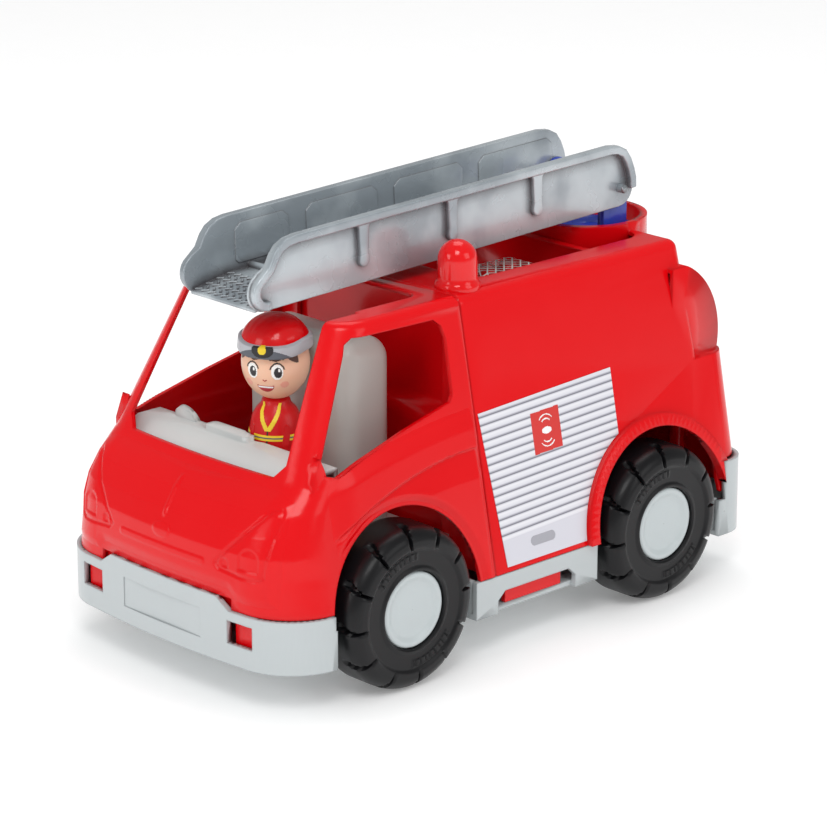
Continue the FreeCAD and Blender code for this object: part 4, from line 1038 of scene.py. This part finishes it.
# ---------------------------------------------------------------- stickers
def build_stickers(sizes):
    low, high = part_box("left_shutter")
    printed = shutter_material(low.z, high.z)
    for name in ("left", "right"):
        smooth_copy(f"{name}_shutter", f"{name}_shutter_print", BODY, printed, 60.0)
    label_red = plastic("label_red", (0.62, 0.02, 0.015), rough=0.36, coat=0.1, edge=0.0)
    label_white = plastic("label_white", (0.86, 0.86, 0.86), rough=0.36, coat=0.1, edge=0.0)
    pill = plastic("pill_grey", (0.36, 0.36, 0.40), rough=0.36, edge=0.0)
    mid_y, mid_z = 0.0230, 0.1080

    def label(u, v):
        return min(0.0103 - abs(u - mid_y), 0.0108 - abs(v - mid_z - (u - mid_y) * 0.035))

    def motif(u, v):
        best = -0.001
        for centre_z in (mid_z + 0.0022, mid_z - 0.0022):
            sign = 1 if centre_z > mid_z else -1
            for r in (0.0038, 0.0060):
                reach = math.hypot(u - mid_y, v - centre_z)
                if (v - centre_z) * sign > reach * 0.62:
                    best = max(best, 0.00045 - abs(reach - r))
        flame = ellipse(u, v, mid_y, mid_z, 0.0036, 0.0019)
        return max(best, flame)

    def handle(u, v):
        reach = max(abs(u - 0.0104) - 0.0064, 0.0)
        return 0.0026 - math.hypot(reach, v - 0.0545)

    for name, side in (("left", 1), ("right", -1)):
        tree = tree_of(f"{name}_shutter")
        for part, shape, material, thickness, box in (
                ("label", label, label_red, 0.00015,
                 ((mid_y - 0.013, mid_y + 0.013), (mid_z - 0.017, mid_z + 0.017))),
                ("motif", motif, label_white, 0.00028,
                 ((mid_y - 0.012, mid_y + 0.012), (mid_z - 0.015, mid_z + 0.015))),
                ("handle", handle, pill, 0.00015, ((0.0005, 0.0203), (0.0510, 0.0580)))):
            piece = relief(f"{name}_shutter_{part}", tree, box[0], box[1], 0.00035, from_side(side),
                           lambda u, v, s=shape, t=thickness: print_height(s(u, v), t))
            finish_piece(piece, BODY, material)


# ---------------------------------------------------------------- stage
def build_stage(sizes):
    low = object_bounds()[0]
    mesh = bpy.data.meshes.new("floor")
    reach = 6.0
    corners = [(-reach, -reach, 0), (reach, -reach, 0), (reach, reach, 0), (-reach, reach, 0)]
    mesh.from_pydata(corners, [], [[0, 1, 2, 3]])
    floor = add_object("floor", mesh)
    floor.location.z = low[2] - 0.0001
    white = plastic("floor_white", (0.90, 0.90, 0.90), rough=0.8, edge=0.0, mottle=0.004, grain=0.0, shine=0.1)
    shader = white.node_tree.nodes["Principled BSDF"]
    shader.inputs["Emission Color"].default_value = (1, 1, 1, 1)
    shader.inputs["Emission Strength"].default_value = FLOOR_GLOW
    floor.data.materials.append(white)
    floor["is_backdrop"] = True
    world = bpy.data.worlds.new("studio")
    world.use_nodes = True
    background = world.node_tree.nodes["Background"]
    background.inputs["Color"].default_value = (1, 1, 1, 1)
    rays = world.node_tree.nodes.new("ShaderNodeLightPath")
    strength = world.node_tree.nodes.new("ShaderNodeMapRange")
    strength.inputs["To Min"].default_value = WORLD_STRENGTH
    strength.inputs["To Max"].default_value = WORLD_STRENGTH_IN_GLOSS
    world.node_tree.links.new(rays.outputs["Is Glossy Ray"], strength.inputs["Value"])
    world.node_tree.links.new(strength.outputs["Result"], background.inputs["Strength"])
    bpy.context.scene.world = world
    bpy.context.scene.view_settings.view_transform = "Standard"
    for name, place, size, power in LAMPS:
        data = bpy.data.lights.new(name, "AREA")
        data.energy = power
        data.size = size
        lamp = bpy.data.objects.new(name, data)
        lamp.location = place
        lamp.rotation_euler = (Vector(LAMP_TARGET) - Vector(place)).to_track_quat("-Z", "Y").to_euler()
        bpy.context.scene.collection.objects.link(lamp)
    camera = bpy.data.objects.new("camera", bpy.data.cameras.new("camera"))
    camera.data.sensor_width = CAMERA_SENSOR
    camera.data.lens = CAMERA_LENS
    camera.location = CAMERA_PLACE
    level = math.cos(CAMERA_ELEVATION)
    look = Vector((-math.sin(CAMERA_AZIMUTH) * level, math.cos(CAMERA_AZIMUTH) * level, -math.sin(CAMERA_ELEVATION)))
    camera.rotation_euler = look.to_track_quat("-Z", "Y").to_euler()
    bpy.context.scene.collection.objects.link(camera)
    bpy.context.scene.camera = camera


# ---------------------------------------------------------------- add-on
class BuildOperator:
    """Shared part of the build operators."""
    bl_options = {"REGISTER", "UNDO"}
    build = None

    def execute(self, context):
        type(self).build(context.scene.fire_engine_sizes)
        return {"FINISHED"}


class FIREENGINE_OT_shells(BuildOperator, bpy.types.Operator):
    """Adds the red shells with their moulded relief, the chassis and the beacon"""
    bl_idname = "fire_engine.shells"
    bl_label = "Shells and chassis"
    build = staticmethod(build_shells)


class FIREENGINE_OT_wheels(BuildOperator, bpy.types.Operator):
    """Adds the tyres, hub caps and axles"""
    bl_idname = "fire_engine.wheels"
    bl_label = "Wheels"
    build = staticmethod(build_wheels)


class FIREENGINE_OT_ladder(BuildOperator, bpy.types.Operator):
    """Adds the ladder, its pin and the turntable"""
    bl_idname = "fire_engine.ladder"
    bl_label = "Ladder"
    build = staticmethod(build_ladder)


class FIREENGINE_OT_interior(BuildOperator, bpy.types.Operator):
    """Adds the cab's interior and the bench"""
    bl_idname = "fire_engine.interior"
    bl_label = "Interior"
    build = staticmethod(build_interior)


class FIREENGINE_OT_figure(BuildOperator, bpy.types.Operator):
    """Adds the driver figure with its printed face and jacket"""
    bl_idname = "fire_engine.figure"
    bl_label = "Figure"
    build = staticmethod(build_figure)


class FIREENGINE_OT_cargo(BuildOperator, bpy.types.Operator):
    """Adds the bricks and the net draped over them"""
    bl_idname = "fire_engine.cargo"
    bl_label = "Cargo"
    build = staticmethod(build_cargo)


class FIREENGINE_OT_stickers(BuildOperator, bpy.types.Operator):
    """Adds the printed shutters with their labels"""
    bl_idname = "fire_engine.stickers"
    bl_label = "Stickers"
    build = staticmethod(build_stickers)


class FIREENGINE_OT_stage(BuildOperator, bpy.types.Operator):
    """Adds the floor, the light and the camera"""
    bl_idname = "fire_engine.stage"
    bl_label = "Stage"
    build = staticmethod(build_stage)


OPERATORS = (
    FIREENGINE_OT_shells, FIREENGINE_OT_wheels, FIREENGINE_OT_ladder, FIREENGINE_OT_interior,
    FIREENGINE_OT_figure, FIREENGINE_OT_cargo, FIREENGINE_OT_stickers, FIREENGINE_OT_stage,
)


class FIREENGINE_PT_panel(bpy.types.Panel):
    """Buttons for each group of pieces"""
    bl_label = "Fire Engine"
    bl_idname = "FIREENGINE_PT_panel"
    bl_space_type = "VIEW_3D"
    bl_region_type = "UI"
    bl_category = "Fire Engine"

    def draw(self, context):
        for name in FireEngineSizes.__annotations__:
            self.layout.prop(context.scene.fire_engine_sizes, name)
        for operator in OPERATORS:
            self.layout.operator(operator.bl_idname)


CLASSES = (FireEngineSizes, *OPERATORS, FIREENGINE_PT_panel)


def register():
    for cls in CLASSES:
        bpy.utils.register_class(cls)
    bpy.types.Scene.fire_engine_sizes = PointerProperty(type=FireEngineSizes)


def unregister():
    del bpy.types.Scene.fire_engine_sizes
    for cls in reversed(CLASSES):
        bpy.utils.unregister_class(cls)


def main():
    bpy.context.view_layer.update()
    register()
    for operator in OPERATORS:
        group, name = operator.bl_idname.split(".")
        getattr(getattr(bpy.ops, group), name)()
    bpy.context.view_layer.update()


if __name__ == "__main__":
    main()
